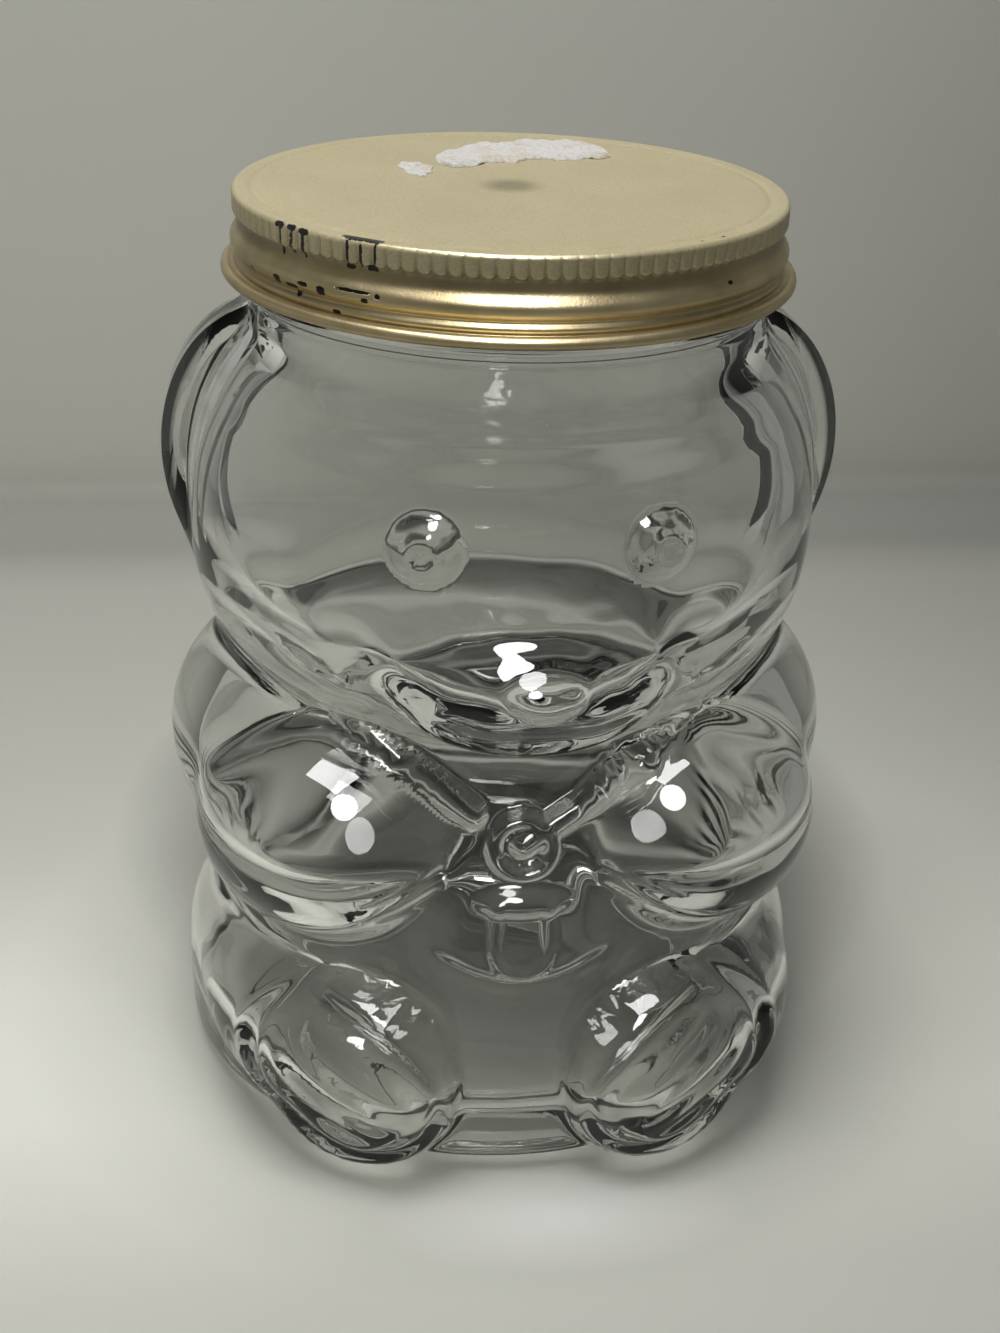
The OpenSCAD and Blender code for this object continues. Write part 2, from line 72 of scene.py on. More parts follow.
# %% [markdown]
# ## Surfaces as grids
# A surface is worked out as a grid of points, one row after another, in whole numpy arrays. Each
# cell of the grid becomes a face. A grid that runs round closes on its first column, and a pole
# before its first row and after its last one makes it a closed skin. Glass and sheet metal need
# that: light has to find a way in and a way out.

# %% From grids to pieces
def grid_faces(rows, cols):
    """Quads between neighbouring rows of a grid whose columns run round and close."""
    i, j = np.meshgrid(np.arange(rows - 1), np.arange(cols), indexing="ij")
    right = (j + 1) % cols
    quads = np.stack([i * cols + j, i * cols + right, (i + 1) * cols + right, (i + 1) * cols + j], -1)
    return quads.reshape(-1, 4)


def sheet_faces(rows, cols):
    """Quads of a grid with four open edges."""
    i, j = np.meshgrid(np.arange(rows - 1), np.arange(cols - 1), indexing="ij")
    corner = i * cols + j
    return np.stack([corner, corner + 1, corner + cols + 1, corner + cols], -1).reshape(-1, 4)


def make_piece(name, points, quads, tris, material):
    """A smooth mesh object from points in millimetres, quads and triangles, placed in its mesh."""
    mesh = bpy.data.meshes.new(name)
    faces = [*quads.tolist(), *np.asarray(tris, int).reshape(-1, 3).tolist()]
    mesh.from_pydata((points * MM).tolist(), [], faces)
    mesh.polygons.foreach_set("use_smooth", np.full(len(faces), True))
    mesh.update()
    piece = bpy.data.objects.new(name, mesh)
    bpy.context.scene.collection.objects.link(piece)
    mesh.materials.append(material)
    print(f"{name}: {len(points)} points, {len(quads) * 2 + len(tris)} triangles")
    return piece


def closed_skin(rings, start, end):
    """Points, quads and triangles of rings with a pole before the first and after the last."""
    rows, cols = rings.shape[:2]
    points = np.concatenate([rings.reshape(-1, 3), [start, end]])
    j = np.arange(cols)
    first = np.stack([np.full(cols, rows * cols), (j + 1) % cols, j], -1)
    last_row = (rows - 1) * cols
    last = np.stack([np.full(cols, rows * cols + 1), last_row + j, last_row + (j + 1) % cols], -1)
    return points, grid_faces(rows, cols), np.concatenate([first, last])


def point_values(piece, name, values):
    """A number for each point of a piece, which its material reads by name."""
    data = piece.data.attributes.new(name, "FLOAT", "POINT").data
    data.foreach_set("value", np.asarray(values, np.float32).ravel())


# %% [markdown]
# ## Barrels and eggs
# Moulded glass has soft, full forms that run into each other. Sculpting could give them, but a
# formula keeps the wall even and can be checked: seen from the axis of the mouth, the surface is
# one radius r for each angle a from the front and each height z. Barrels about the axis give the
# head and body, eggs beside it the limbs, and a soft maximum joins them with small fillets.

# %% Barrels and eggs
def plan(a, w, d):
    """Radius of an oval of width w and depth d: 1 / root of (2 sin a / w)^2 + (2 cos a / d)^2."""
    return 1 / np.sqrt((2 * np.sin(a) / w) ** 2 + (2 * np.cos(a) / d) ** 2)


def barrel(a, z, w, d, mid, up, down, power):
    """An oval plan whose size follows a squared-off arch: (1 - |height share|^power)^(1/power)."""
    share = np.abs(z - mid) / np.where(z > mid, up, down)
    return plan(a, w, d) * np.maximum(1 - share**power, 0) ** (1 / power)


def root(b, d, fall=1):
    """Far root b + sqrt(d) of a quadratic, which falls off steeply where there is none."""
    return b + np.sqrt(np.maximum(d, 0)) - fall * np.sqrt(np.maximum(-d, 0))


def egg(a, z, centre, size):
    """The far root of the quadratic that a level ray from the axis gives with an ellipsoid."""
    s, c = np.array(size) / 2, np.array(centre)
    x, y = np.sin(a), -np.cos(a)
    p = (x / s[0]) ** 2 + (y / s[1]) ** 2
    b = x * c[0] / s[0] ** 2 + y * c[1] / s[1] ** 2
    q = (c[0] / s[0]) ** 2 + (c[1] / s[1]) ** 2 + ((z - c[2]) / s[2]) ** 2 - 1
    d = b * b - p * q
    return np.maximum(0, root(b, d) / p)


def soft_max(values, softness):
    """The logarithm of the sum of exponentials, which rounds the crease where two masses meet."""
    values = np.stack(np.broadcast_arrays(*values))
    top = values.max(0)
    return top + softness * np.log(np.exp((values - top) / softness).sum(0))


test_egg = egg(np.radians(90), 0, (30, 0, 0), (20, 20, 20))
print("an egg 20 wide, 30 out from the axis, reaches", round(float(test_egg), 1))

# %% [markdown]
# ## Feet
# The bear sits and shows its soles. Each foot is a short drum that ends in a nearly flat face. It
# could be a cylinder joined by a boolean, but that leaves a sharp seam. Here the front is unrolled
# at one radius, where a foot is a disc, and the distance from its middle gives its own radius.

# %% Feet
unroll_r = 46
foot_out, foot_len, foot_r, foot_z, foot_power = 53.6, 19, 16.6, 16, 3.4
foot_angle, foot_turn = 29.5, -1.3
sole_w, sole_h, sole_rise, sole_lean = 27, 20, 1.5, 38


def from_foot(a):
    """Way round the unrolled front from the middle of the nearer foot, outward."""
    return (np.abs(a - np.radians(foot_turn)) - np.radians(foot_angle)) * unroll_r


def foot(a, z):
    """From its face a foot falls back by its length times 1 - (1 - share^power)^(1/power)."""
    share = np.hypot(from_foot(a), z - foot_z) / foot_r
    return foot_out - foot_len * (1 - np.maximum(1 - share**foot_power, 0) ** (1 / foot_power))


def on_sole(a, z):
    """Place on the leaning oval of a sole: shares of its half length and of its half width."""
    s, h, lean = from_foot(a), z - foot_z - sole_rise, np.radians(sole_lean)
    along, across = s * np.cos(lean) + h * np.sin(lean), h * np.cos(lean) - s * np.sin(lean)
    return 2 * along / sole_w, 2 * across / sole_h


front = np.radians(np.arange(0, 41))
front_reach = float((foot(front, foot_z) * np.cos(front)).max())
print("the soles stand", round(front_reach, 1), "ahead of the axis")

# %% [markdown]
# ## Head, body and limbs
# The bear's masses have the sizes of the CAD source. The left and right limbs are one formula of
# the angle's amount, so they cannot drift apart. The neck is a plain ring that the head runs into.

# %% Head, body and limbs
head_w, head_d, head_drop, head_up, head_down, head_power = 93.2, 85, 30.6, 37, 33.6, 2.6
muzzle_out, muzzle_w, muzzle_h, muzzle_d, muzzle_drop = 6, 42, 24, 39, 13.8
trunk_w, trunk_d, trunk_z, trunk_tuck, trunk_down, trunk_power = 89, 87.2, 24, 19.3, 70, 2.5
seat_w, seat_d, seat_z, seat_up, seat_down, seat_power = 98.6, 90, 13, 24, 32, 3
arms_w, arm_z, arm_t, arm_d, arm_ahead = 100.8, 57, 42, 45, 4
forearm_z, forearm_h, forearm_w, forearm_d, forearm_out, paw_gap = 50.5, 36, 44, 48, 43.5, 5
leg_top, leg_x, leg_w, leg_d, leg_out, leg_rise = 33.5, 25, 42, 58, 45.5, 2
rump_w, rump_d, rump_h, rump_z = 68, 52, 42, 20
back_w, back_d, back_h, back_z, back_out = 80, 68, 64, 52, 42
neck_root, neck_swell, crease = 9, 0.2, 1.2
head_z = neck_z - head_drop
muzzle_z, trunk_up = head_z - muzzle_drop, head_z - trunk_tuck - trunk_z


def masses(a, z):
    """The radii of the head, trunk, seat, arms, legs, feet, back, rump, muzzle and neck."""
    b = np.abs(a)
    return [
        barrel(a, z, head_w, head_d, head_z, head_up, head_down, head_power),
        barrel(a, z, trunk_w, trunk_d, trunk_z, trunk_up, trunk_down, trunk_power),
        barrel(a, z, seat_w, seat_d, seat_z, seat_up, seat_down, seat_power),
        egg(b, z, ((arms_w - arm_t) / 2, -arm_ahead, arm_z), (arm_t, arm_d, arm_t)),
        egg(b, z, ((paw_gap + forearm_w) / 2, forearm_d / 2 - forearm_out, forearm_z),
            (forearm_w, forearm_d, forearm_h)),
        egg(b, z, (leg_x, leg_d / 2 - leg_out, foot_z + leg_rise),
            (leg_w, leg_d, 2 * (leg_top - foot_z - leg_rise))),
        foot(a, z),
        egg(a, z, (0, back_out - back_d / 2, back_z), (back_w, back_d, back_h)),
        egg(a, z, (0, front_reach - rump_d / 2, rump_z), (rump_w, rump_d, rump_h)),
        egg(a, z, (0, (muzzle_d - head_d) / 2 - muzzle_out, muzzle_z), (muzzle_w, muzzle_d, muzzle_h)),
        np.where(z > neck_z - neck_root, neck_r + neck_swell, 0.0),
    ]


print("masses:", len(masses(0, head_z)), "with the head's middle at z", round(head_z, 1))

# %% [markdown]
# ## Ears
# The ears are half discs that stand upright at the sides of the head, rounded at the edge. A disc
# isn't one of the eggs, because its faces are flat: the ray from the axis is tested against the
# rim and against a face, and the nearer of the two counts.

# %% Ears
ear_out, ear_h, ear_t, ear_rise, ear_root, ear_back, ear_edge = 3.5, 42, 8, 8, 12, 2, 1
ear_z = head_z + ear_rise


def ear_reach(z, inset=0):
    """How far to the side the round rim of an ear stands at the height z: a half circle."""
    q = 2 * (z - ear_z) / (ear_h - 2 * inset)
    return head_w / 2 - ear_root - inset + (ear_root + ear_out) * np.sqrt(np.maximum(1 - q * q, 0))


def ears(a, z, inset=0):
    """The smaller of reach / |sin a| and face / |cos a|, softened where they meet. With an inset
    the disc is smaller all round, as the hollow inside the ear."""
    x, y, q = np.abs(np.sin(a)), -np.cos(a), 2 * (z - ear_z) / (ear_h - 2 * inset)
    reach = ear_reach(z, inset) / np.maximum(x, 0.1)
    face = (ear_t / 2 - inset / 2 + np.where(y > 0, ear_back, -ear_back)) / np.maximum(np.abs(y), 0.01)
    return np.where(q * q < 1, -soft_max([-reach, -face], ear_edge), 0)


print("the ears reach", round(float(ear_reach(ear_z)), 1), "to each side")

# %% [markdown]
# ## Profiles of the relief
# The mould is cut with small shapes: domes for the eyes, round bars for the ring and the tab,
# fine lines for the mouth and the soles. Displacement from an image could give them, but a
# function of the distance from a point, a bar or a curve stays sharp at any resolution.

# %% Profiles
def dome(q):
    """A low dome over the disc q < 1: (1 - q^2)^0.7."""
    return np.maximum(1 - q * q, 0) ** 0.7


def rod(q):
    """A raised round bar over |q| < 1, with steeper sides: (1 - q^2)^0.6."""
    return np.maximum(1 - q * q, 0) ** 0.6


def line(q):
    """A soft line along q = 0, a narrow Gaussian bell across it: exp(-1.2 q^2)."""
    return np.exp(-1.2 * q * q)


def bell(q, power=2):
    """A bell round q = 0, flatter on top with a higher power: exp(-|q|^power)."""
    return np.exp(-(np.abs(q) ** power))


def to_bar(s, z, start, end):
    """Distance from a point of the unrolled front to the straight bar from start to end."""
    start, step = np.array(start), np.array(end) - np.array(start)
    t = np.clip(((s - start[0]) * step[0] + (z - start[1]) * step[1]) / (step @ step), 0, 1)
    return np.hypot(s - start[0] - t * step[0], z - start[1] - t * step[1])


print("dome, rod, line and bell half way out:", [round(float(f(0.5)), 2) for f in (dome, rod, line, bell)])

# %% [markdown]
# ## Soles, fingers and sides
# The finest relief is up to about a millimetre high and is left out of the solids, where it would
# cost many faces. It is what makes the glass glitter: a padded sole with furrows and a raised
# rim, cuts between the fingers, and level ribs that the mould leaves on the sides.

# %% Soles, fingers and sides
pad_out, pad_share = 0.8, 0.82
furrow_cut, furrow_w, furrow_bow, furrow_end, furrows_at = 0.45, 0.11, 0.25, 0.75, (-0.42, -0.02, 0.38)
sole_rim_out, sole_rim_at, sole_rim_w = 0.6, 1.22, 0.09
finger_cut, finger_w, finger_drops = 0.5, 0.7, (0, 3.2)
finger_from, finger_to = (13.5, 50), (22, 46)
rib_out, rib_gap, rib_at, rib_wide, rib_z, rib_high = 0.3, 2.6, 1.45, 0.3, 39, 11


def sole_pads(a, z):
    """A squared dome on each sole, less bowed furrows across it, with a line round it as a rim."""
    along, across = on_sole(a, z)
    pad = pad_out * np.maximum(1 - (along / pad_share) ** 4 - (across / pad_share) ** 4, 0) ** 0.5
    furrows = sum(line((across - at - furrow_bow * along**2) / furrow_w) for at in furrows_at)
    cut = furrow_cut * furrows * np.maximum(1 - (along / furrow_end) ** 4, 0)
    return pad - cut + sole_rim_out * line((np.hypot(along, across) - sole_rim_at) / sole_rim_w)


def between_fingers(a, z):
    """Lines along two parallel bars on each paw, where s is the way round from the front."""
    s = np.abs(a) * unroll_r
    cuts = [line(to_bar(s, z + drop, finger_from, finger_to) / finger_w) for drop in finger_drops]
    return np.maximum(*cuts)


def mould_ribs(a, z):
    """A sine of the height, which fades away from the middle of each side."""
    window = bell((np.abs(a) - rib_at) / rib_wide, 4) * bell((z - rib_z) / rib_high, 4)
    return np.sin(2 * np.pi * z / rib_gap) * window


print("the pad of a sole stands", round(float(sole_pads(np.radians(foot_angle), foot_z)), 2), "proud")

# %% [markdown]
# ## Face and belly
# The eyes and the nose are low domes, and a fine line marks each pupil and the mouth. On the chest
# a ring and a bead hold the cords above a tab, and a fold is cut between belly and legs. The face
# is turned a little to one side, as it is on the real jar.

# %% Face and belly
face_turn, eye_d, eye_angle, eye_rise, eye_out = 1.5, 10, 21.5, 7.4, 2.2
pupil_out, pupil_drop, pupil_r, pupil_w = 0.5, 0.4, 2.1, 0.45
nose_w, nose_h, nose_drop, nose_out = 10, 6, 10.8, 1.5
mouth_cut, mouth_drop, mouth_bow, mouth_half, mouth_dip, mouth_w = 0.8, 4.6, 0.011, 7, 0.5, 0.9
cord_t, cord_ring_z, cord_ring_r, ring_flat, ring_round = 4, 53.4, 4.1, 0.85, 0.7
bead_z, bead_w, bead_h, tab_w, tab_z, tab_out, tab_line = 45.7, 16, 4.8, 8.4, 34.4, 0.7, 1.1
fold_z, fold_depth, fold_w, fold_rise, fold_line = 32.2, 1.1, 26, 4, 1.4
sole_line, sole_line_w = 1.2, 0.12
eye_z, nose_z, cord_r = head_z + eye_rise, head_z - nose_drop, cord_t / 2


def pupils(a, z):
    """A ring in each eye: a line where the distance from its middle is the pupil's radius."""
    b = np.abs(a - np.radians(face_turn)) - np.radians(eye_angle)
    return line((np.hypot(b * head_d / 2, z - eye_z + pupil_drop) - pupil_r) / pupil_w)


def mouth(a, z):
    """A line along two hanging parabolas with a small wave, which fades towards the cheeks."""
    b = a - np.radians(face_turn)
    arc = mouth_bow * (np.abs(b) * unroll_r - mouth_half) ** 2
    lip = z - (nose_z - mouth_drop - arc + mouth_dip * np.cos(b * 20))
    return line(lip / mouth_w) * bell(b * unroll_r / (2 * mouth_half), 6)


def small_relief(a, z):
    """The fine shapes together, each times its height or its depth."""
    limbs = sole_pads(a, z) - finger_cut * between_fingers(a, z)
    return limbs + pupil_out * pupils(a, z) - mouth_cut * mouth(a, z) + rib_out * mould_ribs(a, z)


def relief(a, z):
    """Eyes, nose, ring, bead and tab stand proud; the belly fold and sole lines are cut in."""
    s, b = a * unroll_r, a - np.radians(face_turn)
    sole = np.hypot(*on_sole(a, z)) - 1
    eye = np.hypot((np.abs(b) - np.radians(eye_angle)) * head_d, 2 * (z - eye_z)) / eye_d
    nose = np.hypot(b * head_d / nose_w, 2 * (z - nose_z) / nose_h)
    ring = np.hypot(s * ring_flat, (z - cord_ring_z) / ring_flat) - cord_ring_r
    tab = np.hypot(s, z - np.maximum(z, tab_z + tab_w / 2)) - tab_w / 2
    bead = np.hypot(2 * s / bead_w, 2 * (z - bead_z) / bead_h)
    across = 2 * s / fold_w
    fold = (z - fold_z - fold_rise * across**2) / fold_line
    return (
        eye_out * dome(eye) + nose_out * dome(nose)
        + cord_r * (rod(ring / (cord_r * ring_round)) + np.maximum(1 - bead**2, 0))
        + np.where(z < bead_z, tab_out * rod(tab / tab_line), 0)
        - fold_depth * line(fold) * bell(across, 6)
        - sole_line * line(sole / sole_line_w)
        + small_relief(a, z)
    )


print("eyes at z", round(eye_z, 1), "nose at z", round(nose_z, 1))

# %% [markdown]
# ## Cords
# Two moulded cords run from the shoulders to the ring on the chest, like the ends of a drawstring.
# As lines of the unrolled front they came out flat and ragged, so they are round rods in space:
# short rods with a ball at each joint, whose far side is found along the ray from the axis.

# %% Cords
cord_reach, cord_rise, cord_fall = 36, 14, 1.3
cord_left = [(-1, 1.2, 0.4), (-0.62, 0.79, 0), (-0.44, 0.53, 0), (-0.24, 0.26, 0)]
cord_right = [(1.05, 1.12, 0.4), (0.59, 0.71, 0), (0.29, 0.29, 0), (0, 0, 0)]
chin_z = cord_ring_z + cord_rise


def on_chest(run):
    """Points of a cord, from shares of its reach, its rise and how deep it is sunk, in space."""
    share = np.array(run)
    a, z = share[:, 0] * cord_reach / unroll_r, cord_ring_z + share[:, 1] * cord_rise
    r = soft_max(masses(a, z), crease) - share[:, 2] * cord_t
    return np.stack([r * np.sin(a), -r * np.cos(a), z], -1)


def ball_exit(a, z, c):
    """Far root b + sqrt(b^2 - |c|^2 + radius^2) of a level ray with the ball at the point c."""
    b = c[0] * np.sin(a) - c[1] * np.cos(a)
    return root(b, b * b - c[0] ** 2 - c[1] ** 2 - (z - c[2]) ** 2 + cord_r**2, cord_fall)


def rod_exit(a, z, start, end):
    """The same with the round rod from start to end: only what is square to the rod counts."""
    length = np.linalg.norm(end - start)
    g = (end - start) / length
    u = np.stack([np.sin(a), -np.cos(a), np.zeros_like(a)], -1)
    w = np.stack([np.full_like(z, -start[0]), np.full_like(z, -start[1]), z - start[2]], -1)
    f, h = u - (u @ g)[..., None] * g, w - (w @ g)[..., None] * g
    ff, fh, hh = (f * f).sum(-1), (f * h).sum(-1), (h * h).sum(-1)
    d = fh**2 - ff * (hh - cord_r**2)
    r = root(-fh, d, cord_fall) / ff
    along = r * (u @ g) + w @ g
    return np.where((along > 0) & (along < length), r, 0)


def cord(a, z):
    """Both cords: the farthest exit from all their rods and balls."""
    exits = []
    for run in (on_chest(cord_left), on_chest(cord_right)):
        for start, end in zip(run[:-1], run[1:]):
            exits += [ball_exit(a, z, end), rod_exit(a, z, start, end)]
    return np.max(exits, axis=0)


print("the right cord ends at", on_chest(cord_right)[-1].round(1))

# %% [markdown]
# ## Outside and inside
# The outer face is the soft maximum of everything above. Solidify could make the wall, but real
# moulded glass isn't even: it fills the corners and has a smooth hollow. So the inside is worked
# out from the masses alone, one wall in, sideways and also up and down, and reaches into the ears.

# %% Outside and inside
ring_lift, base_round, cord_fillet = 0.6, 4, 0.3
crease_in, level_soft, ear_inset, ear_fillet = 2.4, 0.4, 3, 0.8
WALLS_UP = (-1.5, -1.0, -0.5, 0, 0.5, 1.0, 1.5)


def edge_round(z, radius):
    """How far a quarter-round edge steps in: radius - root of radius^2 - (radius - z)^2."""
    share = 1 - np.minimum(np.maximum(z, 0), radius) / radius
    return radius * (1 - np.sqrt(np.maximum(1 - share**2, 0)))


def outside(a, z):
    """The masses, ears, relief and cords, with a round edge above the base."""
    body = soft_max([*masses(a, z), ears(a, z)], crease) + relief(a, z)
    return soft_max([body, cord(a, z)], cord_fillet) - edge_round(z - ring_lift, base_round)


def inside(a, z):
    """The least radius of the masses over levels up to 1.5 walls away, less one wall."""
    levels = [soft_max(masses(a, np.minimum(z + h * wall, neck_z)), crease_in) for h in WALLS_UP]
    least = -soft_max([-level for level in levels], level_soft)
    hollow = soft_max([least - wall, ears(a, z, ear_inset)], ear_fillet)
    return hollow - edge_round(z - floor_t, 2 * base_round)


head_back = (np.array([np.pi]), np.array([head_z]))
print("wall at the back of the head:", (outside(*head_back) - inside(*head_back)).round(2))

# %% [markdown]
# ## Uneven glass
# Blown and moulded glass is never quite smooth, and that is what breaks up its reflections. A
# noise texture would only bend the shading; a wave in the mesh also bends what is seen through
# the wall. Eleven plane waves in spread directions add up to a surface that doesn't repeat.

# %% Waves
GOLDEN_ANGLE, GOLDEN_SHARE, WAVES = 2.39996, 0.618, 11


def waves(points, length, seed):
    """The sum of sines of each point along eleven directions, with waves about as long as length."""
    i = np.arange(WAVES) + WAVES * seed
    up, turn = np.cos(2.1 * i + 0.4), GOLDEN_ANGLE * i
    flat = np.sqrt(1 - up**2)
    ways = np.stack([flat * np.cos(turn), flat * np.sin(turn), up], -1)
    k = 2 * np.pi / length * (0.75 + 0.5 * (GOLDEN_SHARE * i % 1))
    return np.sin(points @ (ways * k[:, None]).T + 3.7 * i).sum(-1) / np.sqrt(WAVES)


print("a wave at the axis:", round(float(waves(np.zeros(3), 8, 3)), 2))

# %% [markdown]
# ## Steps of a material
# Every finish here is procedural: noise, places and named values go through ramps into the
# shader. Nodes could be joined one by one, but each kind of node is used many times, so a small
# function makes the node, sets it and hands back its output.

# %% Patterns and colours
def new_material(name):
    """A node material with its node tree and its Principled shader."""
    material = bpy.data.materials.new(name)
    material.use_nodes = True
    return material, material.node_tree, material.node_tree.nodes["Principled BSDF"]


def noise(tree, scale, detail, rough):
    """A noise texture on Object coordinates, in pattern repeats per metre."""
    node = tree.nodes.new("ShaderNodeTexNoise")
    node.inputs["Scale"].default_value = scale
    node.inputs["Detail"].default_value = detail
    node.inputs["Roughness"].default_value = rough
    tree.links.new(tree.nodes.new("ShaderNodeTexCoord").outputs["Object"], node.inputs["Vector"])
    return node.outputs["Fac"]


def ramp(tree, value, stops):
    """A colour ramp through (place, colour) stops."""
    node = tree.nodes.new("ShaderNodeValToRGB")
    elements = node.color_ramp.elements
    while len(elements) < len(stops):
        elements.new(0.5)
    for element, (place, colour) in zip(elements, stops):
        element.position, element.color = place, (*colour, 1)
    tree.links.new(value, node.inputs[0])
    return node.outputs[0]


def bump(tree, shader, height, distance):
    """Turns a height value into a bump on the shader's normal."""
    node = tree.nodes.new("ShaderNodeBump")
    node.inputs["Distance"].default_value = distance
    tree.links.new(height, node.inputs["Height"])
    tree.links.new(node.outputs[0], shader.inputs["Normal"])


def scaled(tree, value, low, high, first=0.0, last=1.0):
    """A value carried from low..high to first..last, and held at the ends."""
    node = tree.nodes.new("ShaderNodeMapRange")
    for name, number in zip(("From Min", "From Max", "To Min", "To Max"), (low, high, first, last)):
        node.inputs[name].default_value = number
    tree.links.new(value, node.inputs["Value"])
    return node.outputs[0]


def blend(tree, share, first, second, kind="MIX"):
    """Two colours mixed by a share, or multiplied."""
    node = tree.nodes.new("ShaderNodeMix")
    node.data_type, node.blend_type = "RGBA", kind
    if share is None:
        node.inputs["Factor"].default_value = 1
    else:
        tree.links.new(share, node.inputs["Factor"])
    for colour, name in ((first, "A"), (second, "B")):
        if isinstance(colour, tuple):
            node.inputs[name].default_value = (*colour, 1)
        else:
            tree.links.new(colour, node.inputs[name])
    return node.outputs["Result"]


# %% [markdown]
# ## Sums, places and shaders
# The rest of a finish is arithmetic: where on the piece a point lies, how two values add up, and
# which of two shaders counts. Places are read as Object coordinates, which every piece here keeps
# in the frame of the whole jar, so a height in the material is the height in the drawing.

# %% Sums, places and shaders
def reckon(tree, kind, first, second):
    """One step of arithmetic on values or numbers."""
    node = tree.nodes.new("ShaderNodeMath")
    node.operation = kind
    for value, slot in ((first, node.inputs[0]), (second, node.inputs[1])):
        if isinstance(value, (int, float)):
            slot.default_value = value
        else:
            tree.links.new(value, slot)
    return node.outputs[0]


def part_of(tree, axis):
    """One of the Object coordinates, in metres."""
    node = tree.nodes.new("ShaderNodeSeparateXYZ")
    tree.links.new(tree.nodes.new("ShaderNodeTexCoord").outputs["Object"], node.inputs[0])
    return node.outputs[axis]


def named_value(tree, name):
    """The number that point_values() left on the piece."""
    node = tree.nodes.new("ShaderNodeAttribute")
    node.attribute_name = name
    return node.outputs["Fac"]


def either(tree, share, first, second):
    """Two shaders mixed by a share, as the surface of the material."""
    node = tree.nodes.new("ShaderNodeMixShader")
    for value, slot in zip((share, first, second), node.inputs):
        tree.links.new(value, slot)
    tree.links.new(node.outputs[0], tree.nodes["Material Output"].inputs["Surface"])


# %% [markdown]
# ## Clear glass
# The jar is clear, faintly grey flint glass. It is a Principled shader with full transmission and
# the glass's own index, because only real refraction shows the back of the jar through the front.
# Two things stand in for what a short render can't work out. Shadow rays pass through a grey
# clear shader, so that the jar throws a soft, light shadow. The outer edge of each ear, where
# thick glass shows the dark room, gets that dark reflection painted into its base colour along a
# named value.

# %% Clear glass
CLEAR, PAINTED_EDGE_DARK, SHADOW = (0.88, 0.885, 0.87), (0.01, 0.01, 0.01), (0.5, 0.51, 0.5)
glass, tree, shader = new_material("clear_flint_glass")
shader.inputs["Transmission Weight"].default_value = 1
shader.inputs["Roughness"].default_value = 0.0
shader.inputs["IOR"].default_value = 1.52
# Painted reflection: the base colour turns near black along the named value, at the ears' outer edge.
painted_edge_tint = ramp(tree, named_value(tree, "rim"), [(0.55, CLEAR), (0.72, PAINTED_EDGE_DARK)])
tree.links.new(painted_edge_tint, shader.inputs["Base Color"])
shade = tree.nodes.new("ShaderNodeBsdfTransparent")
shade.inputs["Color"].default_value = (*SHADOW, 1)
path = tree.nodes.new("ShaderNodeLightPath")
either(tree, path.outputs["Is Shadow Ray"], shader.outputs[0], shade.outputs[0])
print("glass:", glass.name)

# %% [markdown]
# ## Columns and rows
# The glass is one closed skin: from the middle of the base out over the bearing ring, up the
# outside, round the rim, down the bore and the inside, to the middle of the floor. An even grid
# would waste points on the back, so the columns crowd at the front and at the ears, and the rows
# between belly and eyes.

# %% Columns and rows
COLS = 296


def ring_points(a, r, z):
    """Points at the angle a from the front, radius r and height z."""
    r, z = np.broadcast_to(r, a.shape), np.broadcast_to(z, a.shape)
    return np.stack([r * np.sin(a), -r * np.cos(a), z], -1)


def rows_between(low, high, count):
    """Heights from just above low up to high."""
    return low + (high - low) * np.arange(1, count + 1) / count


around = np.linspace(-180, 180, 3601)
crowding = 1 + 2.4 * bell(around / 58, 4) + 3.5 * bell((np.abs(around) - 92.5) / 8, 4)
steps = np.concatenate([[0], np.cumsum((crowding[1:] + crowding[:-1]) / 2)])
angles = np.radians(np.interp(np.arange(COLS) / COLS * steps[-1], steps, around))
edge_rows = ring_lift + base_round * np.array([0, 0.01, 0.04, 0.1, 0.2, 0.35, 0.55, 0.8, 1])
fold_row, chin_row, brow_row = fold_z - 3, chin_z + 4, eye_z + 7
rows_out = np.concatenate([
    edge_rows,
    rows_between(ring_lift + base_round, fold_row, 26),
    rows_between(fold_row, chin_row, 82),
    rows_between(chin_row, brow_row, 52),
    rows_between(brow_row, neck_z, 22),
])
print("outer face:", len(rows_out), "rows of", COLS, "columns")

# %% [markdown]
# ## The outer face
# The face is the outside, worked out at every column and row at once. A soft minimum holds it
# inside the solid's box. Under the neck and on the snout the real glass is slightly dented, which
# breaks up the highlights there, so the waves are stronger in two patches.

# %% Outer face
BOX_MARGIN = 0.08
neck_dent_z, neck_dent_wide, neck_dent_high = 117.5, 8, 3
snout_dent_z, snout_dent_wide, snout_dent_high = muzzle_z + 5, 15, 8
a_out, z_out = np.meshgrid(angles, rows_out)
front_end, side_end, back_end = -cad_box[0][1] / MM, cad_box[1][0] / MM, cad_box[1][1] / MM
ends = np.where(np.cos(a_out) > 0, front_end, back_end) / np.maximum(np.abs(np.cos(a_out)), 0.3)
ends = np.minimum(ends, side_end / np.maximum(np.abs(np.sin(a_out)), 0.3)) - BOX_MARGIN
out_r = -soft_max([-outside(a_out, z_out), -ends], BOX_MARGIN)
skin = ring_points(a_out, out_r, z_out)
neck_patch = bell((a_out + 0.02) * neck_r / neck_dent_wide, 4)
neck_patch = neck_patch * bell((z_out - neck_dent_z) / neck_dent_high, 4)
snout_patch = bell((a_out - 0.02) * unroll_r / snout_dent_wide, 4)
snout_patch = snout_patch * bell((z_out - snout_dent_z) / snout_dent_high, 4)
dents = 0.01 * waves(skin, 8, 3)
dents = dents + 0.05 * neck_patch * waves(skin, 3.6, 4) + 0.09 * snout_patch * waves(skin, 5, 9)
out_rings = ring_points(a_out, out_r + dents, z_out)
print("outer face spans", np.ptp(out_rings, axis=(0, 1)).round(1))

